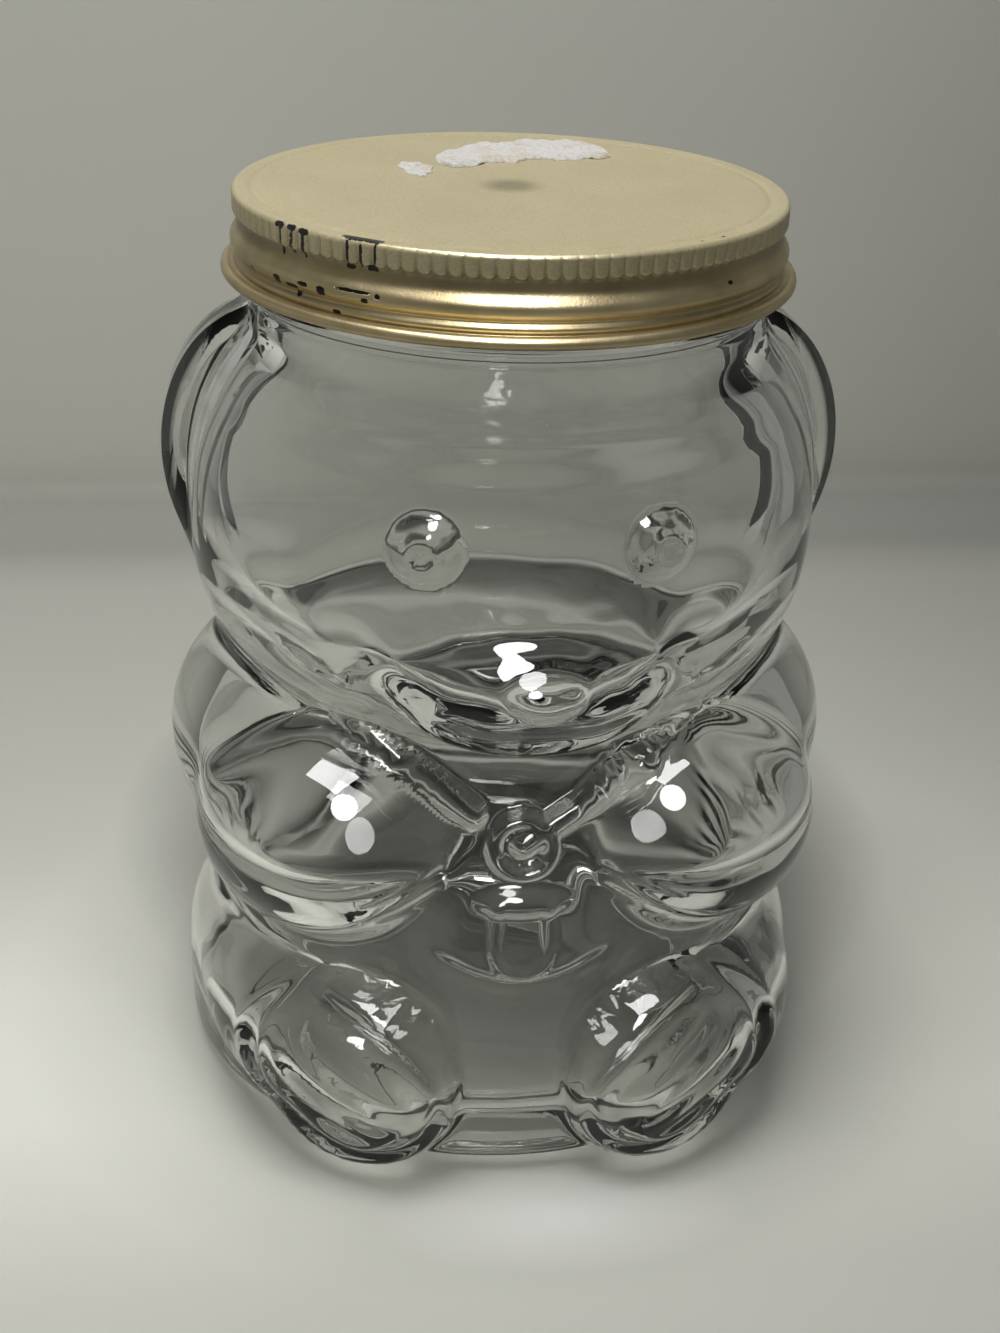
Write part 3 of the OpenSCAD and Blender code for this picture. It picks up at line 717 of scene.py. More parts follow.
# %% [markdown]
# ## Base
# A jar stands on a narrow ring round a slightly raised base, so that it doesn't rock. Both are a
# profile of radius and height, carried round, with its points closest where the ring bends.

# %% Base
ring_w, push_up, ring_in = 4, 2, 8
ring_r = seat_d / 2 - ring_in
ring_start = ring_r - ring_w


def level_rings(r, z):
    """Round rings at the columns of the glass, each with one radius and one height."""
    a, r = np.meshgrid(angles, r)
    return ring_points(a, r, z[:, None])


base_r = np.concatenate([
    [8, 16, 22, 27],
    ring_start + np.array([-2.5, -0.6, 0, 0.3, 0.9, 2, 3.1, 3.7, 4, 4.6]),
])
base_z = ring_lift + push_up * np.clip(1 - (base_r / ring_start) ** 4, 0, 1)
on_ring = np.clip(1 - np.abs(base_r - ring_r + ring_w / 2) / (ring_w / 2), 0, 1)
base_z -= ring_lift * np.sqrt(1 - (1 - on_ring) ** 3)
base_rings = level_rings(base_r, base_z)
print("bearing ring from radius", ring_start, "to", ring_r)

# %% [markdown]
# ## Neck with thread and collar
# The neck carries a collar and a little over one turn of thread. The thread could be a swept
# curve, but as a bell across a rising line it is part of the same skin: the height of its crest
# goes up by the lead with each turn.

# %% Neck with thread and collar
thread_out, thread_drop, thread_w, LEAD, TURNS = 1.1, 5.6, 0.95, 4.233, 1.15
collar_out, collar_h, collar_rise, collar_w, lip = 0.7, 1.6, 0.6, 0.75, 1.0
thread_r, thread_z = neck_r + thread_out, jar_h - thread_drop
collar_rows = np.linspace(neck_z + 0.5, neck_z + 3.4, 9)
thread_rows = np.linspace(neck_z + 4, jar_h - lip, 17)
a_neck, z_neck = np.meshgrid(angles, np.concatenate([collar_rows, thread_rows]))
crest = np.zeros_like(a_neck)
for lap in (-1, 0, 1):
    turn = a_neck / (2 * np.pi) + lap
    fade = np.clip((TURNS / 2 - np.abs(turn)) * 10, 0, 1)
    crest = np.maximum(crest, fade * bell((z_neck - thread_z - LEAD * turn) / thread_w))
collar = bell((z_neck - neck_z - collar_rise - collar_h / 2) / collar_w, 4)
neck_rings = ring_points(a_neck, neck_r + thread_out * crest + collar_out * collar, z_neck)
print("thread of", TURNS, "turns, rising", LEAD, "a turn, out to radius", round(thread_r, 1))

# %% [markdown]
# ## Rim and bore
# The mouth ends in a lip that is rounded outside and inside, a quarter circle each, with a narrow
# flat on top for the liner. Below it the bore is straight.

# %% Rim and bore
bend = np.radians(np.linspace(0, 180, 13))
lip_middle = np.where(bend < np.pi / 2, neck_r - lip, mouth_r + lip)
lip_rings = level_rings(lip_middle + lip * np.cos(bend), jar_h - lip + lip * np.sin(bend))
bore_z = np.linspace(jar_h - lip - 1, neck_z - 2.5, 5)
bore_rings = level_rings(np.full(5, mouth_r), bore_z)
print("rim at z", round(float(lip_rings[..., 2].max()), 1))

# %% [markdown]
# ## The hollow
# The inside has an unevenness of a tenth of a millimetre, calmer in the head, where the real jar
# shows a clear view.

# %% The hollow
CALM_Z, CALM_SHARE = 76, 0.85
a_in, z_in = np.meshgrid(angles, np.linspace(neck_z - 4, floor_t, 84))
in_r = inside(a_in, z_in)
in_skin = ring_points(a_in, in_r, z_in)
lively = 1 - CALM_SHARE / (1 + np.exp((CALM_Z - z_in) / 3))
uneven = lively * (0.1 * waves(in_skin, 16, 1) + 0.025 * waves(in_skin, 6, 2))
in_rings = ring_points(a_in, in_r + uneven, z_in)
print("hollow up to", round(2 * float(in_rings[..., 0].max()), 1), "wide")

# %% [markdown]
# ## The glass as one piece
# All faces are joined to one skin, from the base round to the floor. A named value marks the
# outer edge of the ears, where the material paints a dark reflection: how far the surface has come
# from the head to the ear's full reach, on the front half of each ear.

# %% The glass
glass_rings = np.concatenate([base_rings, out_rings, neck_rings, lip_rings, bore_rings, in_rings])
glass_skin = closed_skin(glass_rings, (0, 0, ring_lift + push_up), (0, 0, floor_t))
bear = make_piece("bear_glass", *glass_skin, glass)
# The share for the painted dark reflection at the ears' outer edge, read by the glass material as the value
# rim.
head = soft_max(masses(a_out, z_out), crease)
full = ear_reach(z_out) / np.maximum(np.abs(np.sin(a_out)), 0.1) - head
at_painted_edge = (full > 0.4) & (skin[..., 1] < -0.8) & (np.abs(skin[..., 0]) > 40)
painted_edge_share = np.where(at_painted_edge, (out_r - head) / full, 0)
painted_edge_values = np.zeros(len(bear.data.vertices))
painted_edge_values[base_rings[..., 0].size:][:painted_edge_share.size] = painted_edge_share.ravel()
point_values(bear, "rim", painted_edge_values)
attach(bear, "jar")
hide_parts("glass_jar")

# %% [markdown]
# ## The lid's sizes
# The lid is one sheet of tinplate, drawn to a flat panel, a knurled band, a rolled thread bead
# and a curled edge. Its sizes hang on the glass: the groove clears the thread, and the panel lies
# one liner above the rim.

# %% Sizes of the lid
sheet, lid_h, lid_play, groove_depth, groove_h, shoulder_r = 0.3, 11.8, 0.3, 0.7, 2.3, 0.7
knurls, knurl_depth, knurl_h, lid_bead_out, lid_bead_h = 120, 0.35, 2.5, 0.4, 3
curl_out, curl_r, panel_ring_in, panel_ring_dip = 1.8, 0.85, 2.8, 0.1
liner_t, liner_gap = 1, 0.2
groove_r = thread_r + lid_play + sheet
lid_r = groove_r + groove_depth
panel_ring_r = lid_r - panel_ring_in
lid_top = jar_h + 2 * liner_gap + liner_t + sheet
panel_z = lid_top - 0.05
knurl_low = lid_top - shoulder_r - knurl_h
curl_z = lid_top - lid_h + curl_r
bead_mid = knurl_low - groove_h - lid_bead_h / 2
print("lid radius", round(lid_r, 2), "top", round(lid_top, 2))

# %% [markdown]
# ## Lacquered tinplate
# The metal is tinned steel under lacquer: cream and half matt on the panel and the knurls, gold
# and brighter on the skirt, where the tin shines through. One material does both, split by
# height. Painted shade in the grooves and valleys and bare metal at the chips come from named
# values of the mesh, so that they turn with the lid.

# %% Lacquered tinplate
CREAM, CREAM_PALE = (0.51, 0.44, 0.26), (0.63, 0.555, 0.35)
BRASS, BRASS_PALE = (0.40, 0.325, 0.18), (0.56, 0.465, 0.28)
# The first colour here is the dark brown painted into grooves and valleys as shade; the second is bare steel
# at the chips.
GROOVE_SHADE, BARE_STEEL = (0.10, 0.075, 0.03), (0.018, 0.015, 0.013)
tinplate, tree, shader = new_material("gold_lacquered_tinplate")
grain, cloud = noise(tree, 2600, 3, 0.6), noise(tree, 90, 4, 0.6)
upper = scaled(tree, part_of(tree, "Z"), (knurl_low - 0.9) * MM, (knurl_low - 0.2) * MM)
cream = ramp(tree, grain, [(0.3, CREAM), (0.7, CREAM_PALE)])
brass = ramp(tree, cloud, [(0.3, BRASS), (0.7, BRASS_PALE)])
dusk = ramp(tree, cloud, [(0.3, (0.94, 0.935, 0.92)), (0.65, (1, 1, 1))])
coat = blend(tree, None, blend(tree, upper, brass, cream), dusk, "MULTIPLY")
# Painted shade: the coat turns dark brown where the named value cut is high, in the knurls' cuts and the
# skirt's valleys.
painted_groove_shade = scaled(tree, named_value(tree, "cut"), 0.2, 1.0, 0.0, 0.55)
coat = blend(tree, painted_groove_shade, coat, GROOVE_SHADE)
ragged = reckon(tree, "MULTIPLY", noise(tree, 1700, 4, 0.75), 2)
bare = scaled(tree, reckon(tree, "MULTIPLY", named_value(tree, "chip"), ragged), 0.42, 0.5)
tree.links.new(blend(tree, bare, coat, BARE_STEEL), shader.inputs["Base Color"])
tree.links.new(scaled(tree, upper, 0, 1, 0.9, 0.4), shader.inputs["Metallic"])
rough = reckon(tree, "ADD", scaled(tree, upper, 0, 1, 0.33, 0.32), reckon(tree, "MULTIPLY", cloud, 0.08))
tree.links.new(rough, shader.inputs["Roughness"])
bump(tree, shader, reckon(tree, "SUBTRACT", grain, reckon(tree, "MULTIPLY", bare, 1.5)), 0.00003)
print("lid finish:", tinplate.name)

# %% [markdown]
# ## Knurls and beads
# The knurled band gives the fingers a hold, and the bead grips the thread. A Screw modifier could
# turn the profile, but in the knurled band the radius also follows the angle. More columns lie in
# the narrow cuts than on the wide pads, which keeps the knurls sharp with few points.

# %% Knurls and beads
def knurl_share(turns, z):
    """How much of the step from the groove to the knurled band is there: pads with rounded lower
    ends, and narrow cuts between them, a bell across each, that fade towards the top."""
    place = (turns * knurls) % 1 - 0.5
    cut = bell((np.abs(place) - 0.5) / 0.1)
    low = knurl_low + 0.55 * (2 * place) ** 2
    fade = np.clip(1 - 0.7 * (z - knurl_low - 0.8) / (knurl_h - 0.8), 0.3, 1)
    return np.clip((z - low + 0.45) / 0.6, 0, 1) ** 1.5 * (1 - 0.55 * cut * fade)


def bead_swell(z):
    """How far the thread bead stands out of the groove: a bell of power 2.6 over the height."""
    return bell((z - bead_mid) / (lid_bead_h * 0.48), 2.6) * (groove_depth + lid_bead_out)


def foot_swell(z):
    """The same for the low bead at the foot of the skirt, with a bell of power 2.4."""
    return low_bead * bell((z - skirt_low - low_bead) / low_bead, 2.4)


def lid_ring(r, z):
    """A ring of the lid, whose radius may follow the angle."""
    r = np.broadcast_to(r, spin.shape)
    return np.stack([r * np.cos(spin), r * np.sin(spin), np.full(spin.shape, z)], -1)


pad_columns = np.array([0, 0.06, 0.13, 0.22, 0.5, 0.78, 0.87, 0.94])
turns = ((np.arange(knurls)[:, None] + pad_columns) / knurls).ravel()
spin = 2 * np.pi * turns
skirt_low, skirt_top, low_bead = curl_z + curl_r * 0.75, knurl_low - 0.9, 0.75
print("the thread bead stands", round(float(bead_swell(bead_mid)), 2), "out of the groove")

# %% [markdown]
# ## The lid, ring by ring
# One skin again, as for the glass: the panel with its pressed ring, the rounded shoulder, the
# knurls, the skirt with both beads, the curl at the edge, and back up the inside of the sheet.

# %% Lid mesh
near_ring = [-1.6, -0.9, -0.5, -0.2, 0, 0.2, 0.5, 0.9, 1.2, 1.4, 1.6, 1.8, 1.95]
panel_r = np.concatenate([[6, 14, 22, 29, 33], panel_ring_r + np.array(near_ring)])
panel_dip = 2.4 * panel_ring_dip * bell((panel_r - panel_ring_r) / 0.45)
rings = [lid_ring(r, panel_z - dip) for r, dip in zip(panel_r, panel_dip)]
for q in np.radians(np.linspace(90, 10, 7)):
    z = panel_z - shoulder_r + shoulder_r * np.sin(q)
    share = np.clip((lid_top - z) / 0.5, 0, 1) * (1 - knurl_share(turns, z))
    rings.append(lid_ring(lid_r - shoulder_r + shoulder_r * np.cos(q) - share * knurl_depth, z))
for z in np.linspace(lid_top - shoulder_r - 0.15, knurl_low - 0.7, 16):
    rings.append(lid_ring(groove_r + groove_depth * knurl_share(turns, z), z))
for z in np.linspace(skirt_top, skirt_low, 31):
    rings.append(lid_ring(groove_r + np.maximum(bead_swell(z), foot_swell(z)), z))
for q in np.radians(np.linspace(120, -200, 17)):
    rings.append(lid_ring(lid_r + curl_out - curl_r + curl_r * np.cos(q), curl_z + curl_r * np.sin(q)))
for z in np.linspace(skirt_low + 0.1, skirt_top, 11):
    rings.append(lid_ring(groove_r - sheet + 0.6 * bead_swell(z), z))
rings.append(lid_ring(groove_r - sheet, lid_top - shoulder_r - 0.5))
rings.append(lid_ring(groove_r - sheet - 0.4, lid_top - sheet - 0.15))
rings.append(lid_ring(20, panel_z - sheet))
lid_rings = np.stack(rings)[::-1]
lid = make_piece("tin_lid", *closed_skin(lid_rings, (0, 0, panel_z - sheet), (0, 0, panel_z)), tinplate)

# %% [markdown]
# ## Chips and painted shade
# The lacquer is chipped off the knurls and the beads at the lid's left front. A texture could
# paint the chips, but a short list of places and sizes puts each one where it is. Noise in the
# material makes their edges ragged. The second value marks the cuts and the valleys, which the
# material paints darker as shade.

# %% Chips and painted shade
# Each chip: degrees from the front, height, half width in degrees, half height.
CHIPS = [
    (-56.5, 135.6, 0.45, 2.0), (-56.5, 137.5, 1.3, 0.35), (-52.9, 135.6, 0.4, 1.9), (-52.9, 137.6, 1.2, 0.3),
    (-49.3, 135.9, 0.45, 1.8), (-49.3, 137.5, 1.2, 0.35), (-35.5, 138.3, 4.2, 0.5), (-38.3, 136.2, 0.35, 1.6),
    (-35.4, 136.0, 0.3, 1.5), (-32.1, 136.4, 0.35, 1.7), (-38.0, 134.4, 1.0, 0.35), (-33.0, 134.6, 1.1, 0.4),
    (-67.1, 130.2, 0.5, 0.4), (-57.0, 130.4, 0.9, 0.6), (-52.5, 130.2, 1.6, 0.3), (-49.0, 130.9, 1.2, 0.3),
    (-51.0, 129.3, 0.6, 0.4), (-44.3, 130.6, 0.9, 0.6), (-36.8, 131.5, 3.4, 0.22), (-34.1, 130.5, 0.6, 0.35),
    (-31.4, 131.3, 0.6, 0.35), (-40.7, 128.3, 0.9, 0.3), (33.9, 138.6, 0.4, 0.2), (39.9, 138.5, 0.5, 0.25),
    (40.9, 132.1, 0.5, 0.25),
]
# The last two points are the poles. Given as 0, they count as valleys below, whose painted
# shade leaves a faint dark spot in the middle of the panel.
x, y, z = np.concatenate([lid_rings.reshape(-1, 3), [(0, 0, 0), (0, 0, 0)]]).T
from_front, r = np.degrees(np.arctan2(x, -y)), np.hypot(x, y)
height = z + np.maximum(lid_r - shoulder_r - r, 0)
chip = np.zeros_like(x)
for at, level, wide, high in CHIPS:
    spot = bell((from_front - at) / (1.2 * wide), 4) * bell((height - level) / (1.1 * high), 4)
    chip = np.maximum(chip, np.where(r > groove_r - 1.5, spot, 0))
point_values(lid, "chip", chip)
# Painted shade: this value is high in the cuts between the knurls, in the skirt's valleys and low on the
# curl, where the material darkens the coat.
cut = 1 - knurl_share(np.arctan2(y, x) / (2 * np.pi) % 1, np.minimum(z, lid_top - shoulder_r))
valley_shade = 0.95 * np.clip((groove_r + 0.4 - r) / 0.4, 0, 1) + 0.5 * np.clip((curl_z + 0.3 - z) / 0.6, 0, 1)
point_values(lid, "cut", np.where(z < knurl_low - 0.3, valley_shade, np.where(r > lid_r - 1.2, cut, 0)))
print("chipped share of the points:", round(float((chip > 0.5).mean()), 4))
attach(lid, "lid")
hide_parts("screw_lid")

# %% [markdown]
# ## The liner
# A thin disc of cream card with a waxed face lies loose between the rim and the panel. Its solid
# is already all that is seen of it, so the CAD node stays and only gets its finish.

# %% Liner
CARD, CARD_PALE = (0.70, 0.68, 0.61), (0.80, 0.78, 0.72)
card, tree, shader = new_material("waxed_card")
fibre = noise(tree, 900, 5, 0.6)
tree.links.new(ramp(tree, fibre, [(0.3, CARD), (0.7, CARD_PALE)]), shader.inputs["Base Color"])
shader.inputs["Roughness"].default_value = 0.55
bump(tree, shader, fibre, 0.00005)
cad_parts["lid_liner"].data.materials.clear()
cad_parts["lid_liner"].data.materials.append(card)
print("liner finish:", card.name)

# %% [markdown]
# ## Paper
# Paper was once stuck to the panel and left a long strip and a small scrap, torn and crumpled. It
# is white fibre, stained by old glue in places. The fibres are too fine for the mesh, so a noise
# gives them as colour and as a bump.

# %% Paper
paper, tree, shader = new_material("torn_paper")
fibre, cloud = noise(tree, 1600, 6, 0.75), noise(tree, 160, 3, 0.5)
white = ramp(tree, fibre, [(0.25, (0.42, 0.39, 0.35)), (0.5, (0.66, 0.64, 0.61)), (0.75, (0.78, 0.76, 0.74))])
stained = ramp(tree, fibre, [(0.3, (0.46, 0.38, 0.26)), (0.7, (0.68, 0.60, 0.46))])
stain = scaled(tree, cloud, 0.5, 0.66, 0.0, 0.8)
tree.links.new(blend(tree, stain, white, stained), shader.inputs["Base Color"])
shader.inputs["Roughness"].default_value = 0.9
bump(tree, shader, fibre, 0.0004)
print("paper finish:", paper.name)

# %% [markdown]
# ## Skin of a scrap
# Cloth simulation could crumple a sheet, but this one is glued down. Each scrap is a disc, with a
# share of the way to its rim and an angle round it, that is stretched to the torn outline. Its
# height is made of creases, which are waves folded up to one side.

# %% Skin of a scrap
shares = [*np.linspace(0.03, 0.94, 34), 0.965, 0.985, 1]
share, swing = np.meshgrid(shares, np.radians(np.arange(0, 360, 1.2)), indexing="ij")


def scrap(x, y, height):
    """A closed skin, thin at the rim as sqrt((1 - share) / 0.06), with a flat under side."""
    edge = np.sqrt(np.clip((1 - share) / 0.06, 0, 1))
    top = np.stack([x, y, panel_z + 0.04 + (height - 0.04) * edge], -1)
    under = top[-1:].copy()
    under[..., 2] = panel_z + 0.01
    middle = top[0].mean(0)
    below = (middle[0], middle[1], panel_z + 0.01)
    return closed_skin(np.concatenate([top, under])[::-1], below, tuple(middle))


def torn(t, seed):
    """How ragged the outline is at the share t of its length: three sines."""
    return 0.11 * np.sin(22 * t + seed) + 0.06 * np.sin(54 * t + 2 * seed) + 0.04 * np.sin(141 * t + 3 * seed)


def crumpled(x, y, creases, seed):
    """The sum of the absolute values of waves, one for each length and height of creases."""
    flat = np.stack([x, y, 0 * x], -1)
    return sum(np.abs(waves(flat, length, seed + i)) * high for i, (length, high) in enumerate(creases))


print("each scrap has", share.shape[0], "rings of", share.shape[1], "points")

# %% [markdown]
# ## Strip and scrap
# The strip is bowed like the edge that it was torn along: t runs along it and v across it, from
# -1 to 1. The scrap beside it is a leaning oval with a wavy rim. Both are kept in one piece,
# because they are one finish and stay on the lid together.

# %% Strip and scrap
paper_t, paper_w, paper_d, paper_x, paper_y, paper_bow, lobe_w = 0.8, 27.2, 14.6, 4.1, 16, 9, 4.6
square = np.maximum(np.abs(np.cos(swing)), np.abs(np.sin(swing)))
t, v = 0.5 + 0.49 * share * np.cos(swing) / square, share * np.sin(swing) / square
half = paper_d / 2 * np.sqrt(1 - np.abs(2 * t - 1) ** 5)
x = paper_x + paper_w * (t - 0.5)
y = paper_y + paper_bow * np.sin(np.radians(130 * t))
y = y + v * half * (1 + np.where(v > 0, torn(t, 1.6), torn(t, -1.6)))
crumple = crumpled(x, y, [(4.2, 0.5), (1.6, 0.3)], 5)
ridge = bell((v + 0.72) / 0.2) + bell((v - 0.1) / 0.12) * bell((t - 0.75) / 0.2)
strip = scrap(x, y, np.minimum(0.1 + 0.2 * crumple + 0.34 * ridge * (0.6 + crumple), paper_t))

grow = 1 + 0.1 * np.sin(3 * swing + 0.7) + 0.07 * np.sin(7 * swing) + 0.05 * np.sin(17 * swing)
lean = np.radians(8)
lx, ly = lobe_w / 2 * share * grow * np.cos(swing), lobe_w * share * grow * np.sin(swing)
x = paper_x - (paper_w + lobe_w) / 2 - 0.9 + lx * np.cos(lean) - ly * np.sin(lean)
y = paper_y - 1.2 * lobe_w + lx * np.sin(lean) + ly * np.cos(lean)
crumple = crumpled(x, y, [(3.2, 0.6), (1.3, 0.4)], 7)
lobe = scrap(x, y, np.minimum(0.15 + 0.45 * crumple * (1.2 - share), paper_t))

points = np.concatenate([strip[0], lobe[0]])
quads, tris = (np.concatenate([strip[k], lobe[k] + len(strip[0])]) for k in (1, 2))
scraps = make_piece("torn_paper_scraps", points, quads, tris, paper)
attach(scraps, "lid")
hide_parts("paper_scraps")

# %% [markdown]
# ## Floor and backdrop
# The jar stands on a pale paper sweep that bends up into a grey wall. Bright floor and darker
# wall are what clear glass needs: it shows the one as light faces and the other as dark edges.
# The tones are ramps along the floor, up the wall and across the stage, which paint how the
# light falls off: the floor is lightest near the jar and a little left of the middle and darker
# towards its edges and the bend, and the wall is darker at its foot than higher up. Painted
# shadows darken the floor where the jar stands and close behind it, because lid and jar keep
# light off it there; a painted pool of light brightens it to the left of the jar, and one small
# painted bright spot stands where the glass gathers the light; a short render leaves these too
# weak. The wall is seen from its front only, so that a camera behind it still sees the jar.

# %% Tones of the sweep
def grey(tree, value, low, high, stops):
    """A grey that follows a value from low to high through (place, grey) stops."""
    stops = [((at - low) / (high - low), (tone, tone, tone * 0.98)) for at, tone in stops]
    return ramp(tree, scaled(tree, value, low, high), stops)


def from_spot(tree, x, y, wide, deep):
    """Distance from a spot of the floor as a share of an oval: sqrt(across^2 + along^2)."""
    across = reckon(tree, "DIVIDE", reckon(tree, "SUBTRACT", part_of(tree, "X"), x), wide)
    along = reckon(tree, "DIVIDE", reckon(tree, "SUBTRACT", part_of(tree, "Y"), y), deep)
    square = reckon(tree, "ADD", reckon(tree, "POWER", across, 2), reckon(tree, "POWER", along, 2))
    return reckon(tree, "SQRT", square, 0)


sweep, tree, shader = new_material("paper_sweep")
# Painted falloff of light along the floor: lightest near the jar, darker towards the near edge and the wall.
painted_floor_falloff = grey(tree, part_of(tree, "Y"), -0.5, 0.22, [
    (-0.5, 0.2), (-0.27, 0.55), (-0.067, 0.58), (-0.03, 0.68), (0.005, 0.66), (0.045, 0.56),
    (0.09, 0.5), (0.152, 0.445), (0.176, 0.425), (0.19, 0.375), (0.2, 0.32), (0.22, 0.31),
])
# Painted falloff of light up the wall: darker at its foot, lighter higher up.
painted_wall_falloff = grey(tree, part_of(tree, "Z"), 0, 0.2, [
    (0, 0.44), (0.008, 0.49), (0.0135, 0.69), (0.019, 0.735), (0.025, 0.765), (0.041, 0.79),
    (0.073, 0.82), (0.13, 0.84), (0.2, 0.86),
])
# Painted falloff of light across the stage: lightest a little left of the middle, darker to both sides,
# sooner on the right.
painted_side_falloff = grey(tree, part_of(tree, "X"), -0.3, 0.3, [
    (-0.3, 0.5), (-0.15, 1), (-0.05, 1), (0.09, 0.88), (0.15, 0.77), (0.3, 0.55),
])
# Painted shadow on the floor under and round the jar's base.
painted_shadow_under_jar = grey(tree, from_spot(tree, 0, 0.008, 0.1, 0.1), 0, 1, [
    (0.3, 0.42), (0.46, 0.6), (0.56, 0.82), (0.8, 1),
])
# Painted shadow on the floor close behind the jar.
painted_shadow_behind = grey(tree, from_spot(tree, 0.009, 0.062, 0.058, 0.066), 0, 1.5, [(0.6, 0.2), (1, 0.6), (1.3, 1)])
# Painted pool of light on the floor to the left of the jar.
painted_light_pool = grey(tree, from_spot(tree, -0.085, -0.02, 0.1, 0.1), 0, 1, [(0, 1), (0.3, 0.95), (0.75, 0.86)])
upright = scaled(tree, part_of(tree, "Z"), 0.0005, 0.012)
tone = blend(tree, upright, painted_floor_falloff, painted_wall_falloff)
# The painted falloff, shadows and pool of light darken the tone wherever they are below one.
for shade in (painted_side_falloff, painted_shadow_under_jar, painted_shadow_behind, painted_light_pool):
    tone = blend(tree, None, tone, shade, "MULTIPLY")
# Painted light: a small bright spot on the floor just in front of the jar, where the glass gathers light.
painted_bright_spot = scaled(tree, from_spot(tree, 0.006, -0.055, 0.014, 0.006), 2, 0.2, 0, 0.4)
tree.links.new(blend(tree, painted_bright_spot, tone, (0.8, 0.8, 0.78)), shader.inputs["Base Color"])
shader.inputs["Roughness"].default_value = 0.9
shader.inputs["Specular IOR Level"].default_value = 0.1
from_behind = tree.nodes.new("ShaderNodeNewGeometry").outputs["Backfacing"]
open_back = tree.nodes.new("ShaderNodeBsdfTransparent").outputs[0]
either(tree, from_behind, shader.outputs[0], open_back)
print("stage finish:", sweep.name)

# %% [markdown]
# ## The sweep
# The sweep is a line from the near edge of the floor, through a tight quarter circle, up the
# wall, drawn out sideways. A plane with a bevelled bend would do too, but this way the bend's
# radius is a size like the others.

# %% Sweep of paper
floor_start, flat_y, bend_r, wall_end, floor_half = -0.36, 0.2, 0.014, 0.56, 0.32
bend_way = flat_y + bend_r * np.radians(np.linspace(6, 90, 15))
s = np.concatenate([np.linspace(floor_start, flat_y, 12), bend_way, [wall_end]])
t = np.clip((s - flat_y) / bend_r, 0, np.pi / 2)
rise = np.maximum(s - flat_y - bend_r * np.pi / 2, 0)
sy = np.where(s < flat_y, s, flat_y + bend_r * np.sin(t))
sz = np.where(s < flat_y, 0, bend_r * (1 - np.cos(t)) + rise)
sx = np.linspace(-floor_half, floor_half, 3)
sweep_points = np.stack([*np.broadcast_arrays(sx[None], sy[:, None], sz[:, None])], -1)
floor_faces = sheet_faces(len(s), len(sx))
floor = make_piece("paper_sweep", sweep_points.reshape(-1, 3) / MM, floor_faces, np.zeros((0, 3)), sweep)

# %% [markdown]
# ## Lamps
# One soft light hangs ahead of the jar and the ceiling gives the rest. The key lamp makes the
# oval highlights on snout, paws and feet; diffuse surfaces take no light from it, because it
# would burn out the floor. The ceiling lamp lights everything and draws the long highlights on
# the arms. Area lamps are used, because glass and metal show a lamp's shape.

# %% Lamps
def softbox(name, place, target, width, height, power, shape="RECTANGLE"):
    """A soft lamp at place, in metres, that faces target."""
    data = bpy.data.lights.new(name, "AREA")
    data.shape, data.size, data.size_y, data.energy = shape, width, height, power
    lamp = bpy.data.objects.new(name, data)
    lamp.location = place
    lamp.rotation_euler = (Vector(target) - Vector(place)).to_track_quat("-Z", "Y").to_euler()
    bpy.context.scene.collection.objects.link(lamp)
    print(name, "lamp of", power, "W")
    return lamp


key = softbox("key", (-0.05, -0.42, 0.62), (0, 0, 0.06), 0.23, 0.29, 3.8, "ELLIPSE")
key.visible_diffuse = False
softbox("ceiling", (-0.12, -0.1, 1.0), (0, 0, 0), 0.45, 0.45, 10)

# %% [markdown]
# ## Room
# Glass shows the room round it. A photographed panorama could stand for it, but a few tones by
# direction are enough: darker to the right, brighter behind the jar and dark overhead. Camera,
# glossy and transmission rays see it in full, and other rays hardly at all, so that the lamps set
# the light on the floor.

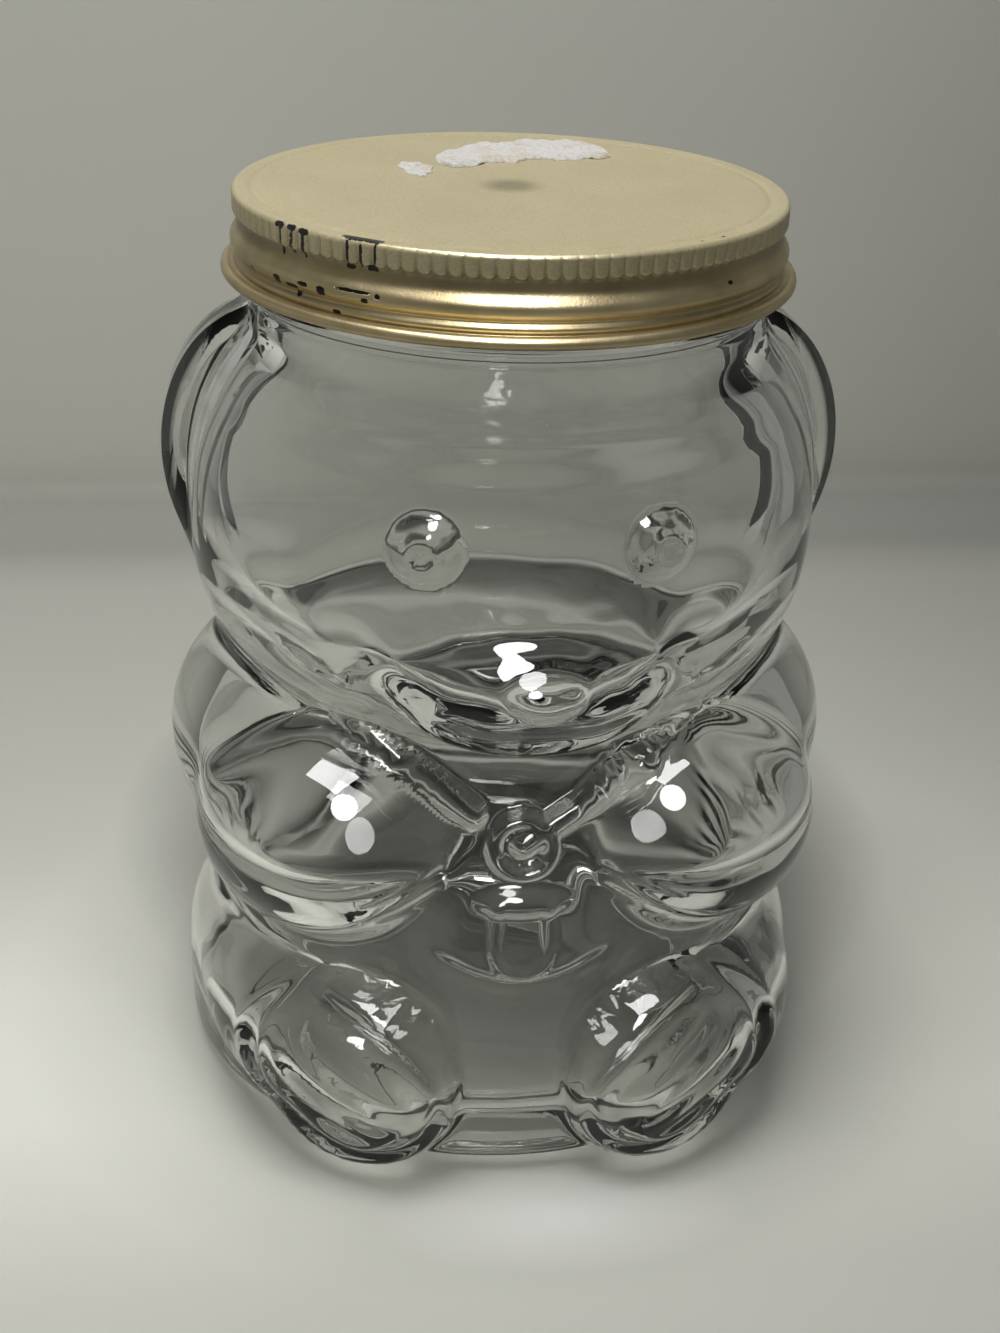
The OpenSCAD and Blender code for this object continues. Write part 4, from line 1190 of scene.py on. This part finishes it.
# %% Room
world = bpy.data.worlds.new("studio")
bpy.context.scene.world = world
world.use_nodes = True
tree = world.node_tree
background = tree.nodes["Background"]
way = tree.nodes.new("ShaderNodeSeparateXYZ")
tree.links.new(tree.nodes.new("ShaderNodeTexCoord").outputs["Generated"], way.inputs[0])
sides = grey(tree, way.outputs["X"], -1, 1, [(-1, 0.42), (-0.4, 0.26), (0.4, 0.2), (1, 0.24)])
depth = grey(tree, way.outputs["Y"], -1, 1, [(-1, 0.7), (-0.3, 0.75), (0.2, 1), (1, 1)])
rise = grey(tree, way.outputs["Z"], -1, 1, [(-0.2, 1), (0.15, 1), (0.5, 0.4), (1, 0.15)])
room = blend(tree, None, blend(tree, None, sides, depth, "MULTIPLY"), rise, "MULTIPLY")
tree.links.new(room, background.inputs["Color"])
path = tree.nodes.new("ShaderNodeLightPath")
seen = reckon(tree, "MAXIMUM", path.outputs["Is Glossy Ray"], path.outputs["Is Transmission Ray"])
seen = reckon(tree, "MAXIMUM", seen, path.outputs["Is Camera Ray"])
tree.links.new(scaled(tree, seen, 0, 1, 0.08, 1), background.inputs["Strength"])
print("room:", world.name)

# %% [markdown]
# ## Camera
# The lid's ellipses and the jar's outline give the camera: a little above the lid, 26 degrees
# down, turned 7 degrees and leaning by about 2. It is set as a matrix of its right, up and back
# directions, because three angles in the wrong order are easily mixed up.

# %% Camera
FOCAL_PX, LONG_SIDE_PX, SENSOR = 1950, 1333, 36
CAM_FAR, CAM_UP, PITCH, YAW, ROLL, CAM_SIDE = 0.27534, 0.19767, 26.1, 7, 1.9, 0.00065
pitch, yaw, roll = np.radians([PITCH, YAW, ROLL])
ahead = np.array([np.sin(yaw) * np.cos(pitch), np.cos(yaw) * np.cos(pitch), -np.sin(pitch)])
level = np.array([np.cos(yaw), -np.sin(yaw), 0])
plumb = np.cross(level, ahead)
right = np.cos(roll) * level + np.sin(roll) * plumb
up = np.cos(roll) * plumb - np.sin(roll) * level
place = np.array([-CAM_FAR * np.sin(yaw), -CAM_FAR * np.cos(yaw), CAM_UP]) + right * CAM_SIDE
view = bpy.data.cameras.new("camera")
view.sensor_width = SENSOR
view.lens = FOCAL_PX / LONG_SIDE_PX * SENSOR
view.clip_start = 0.01
camera = bpy.data.objects.new("camera", view)
turned = np.eye(4)
turned[:3, 0], turned[:3, 1], turned[:3, 2], turned[:3, 3] = right, up, -ahead, place
camera.matrix_world = Matrix(turned.tolist())
bpy.context.scene.collection.objects.link(camera)
bpy.context.scene.camera = camera
print("lens", round(view.lens, 2), "mm")

# %% [markdown]
# ## Finish
# The Standard view shows a colour as it is written.

# %% Finish
bpy.context.scene.view_settings.view_transform = "Standard"
bpy.context.view_layer.update()
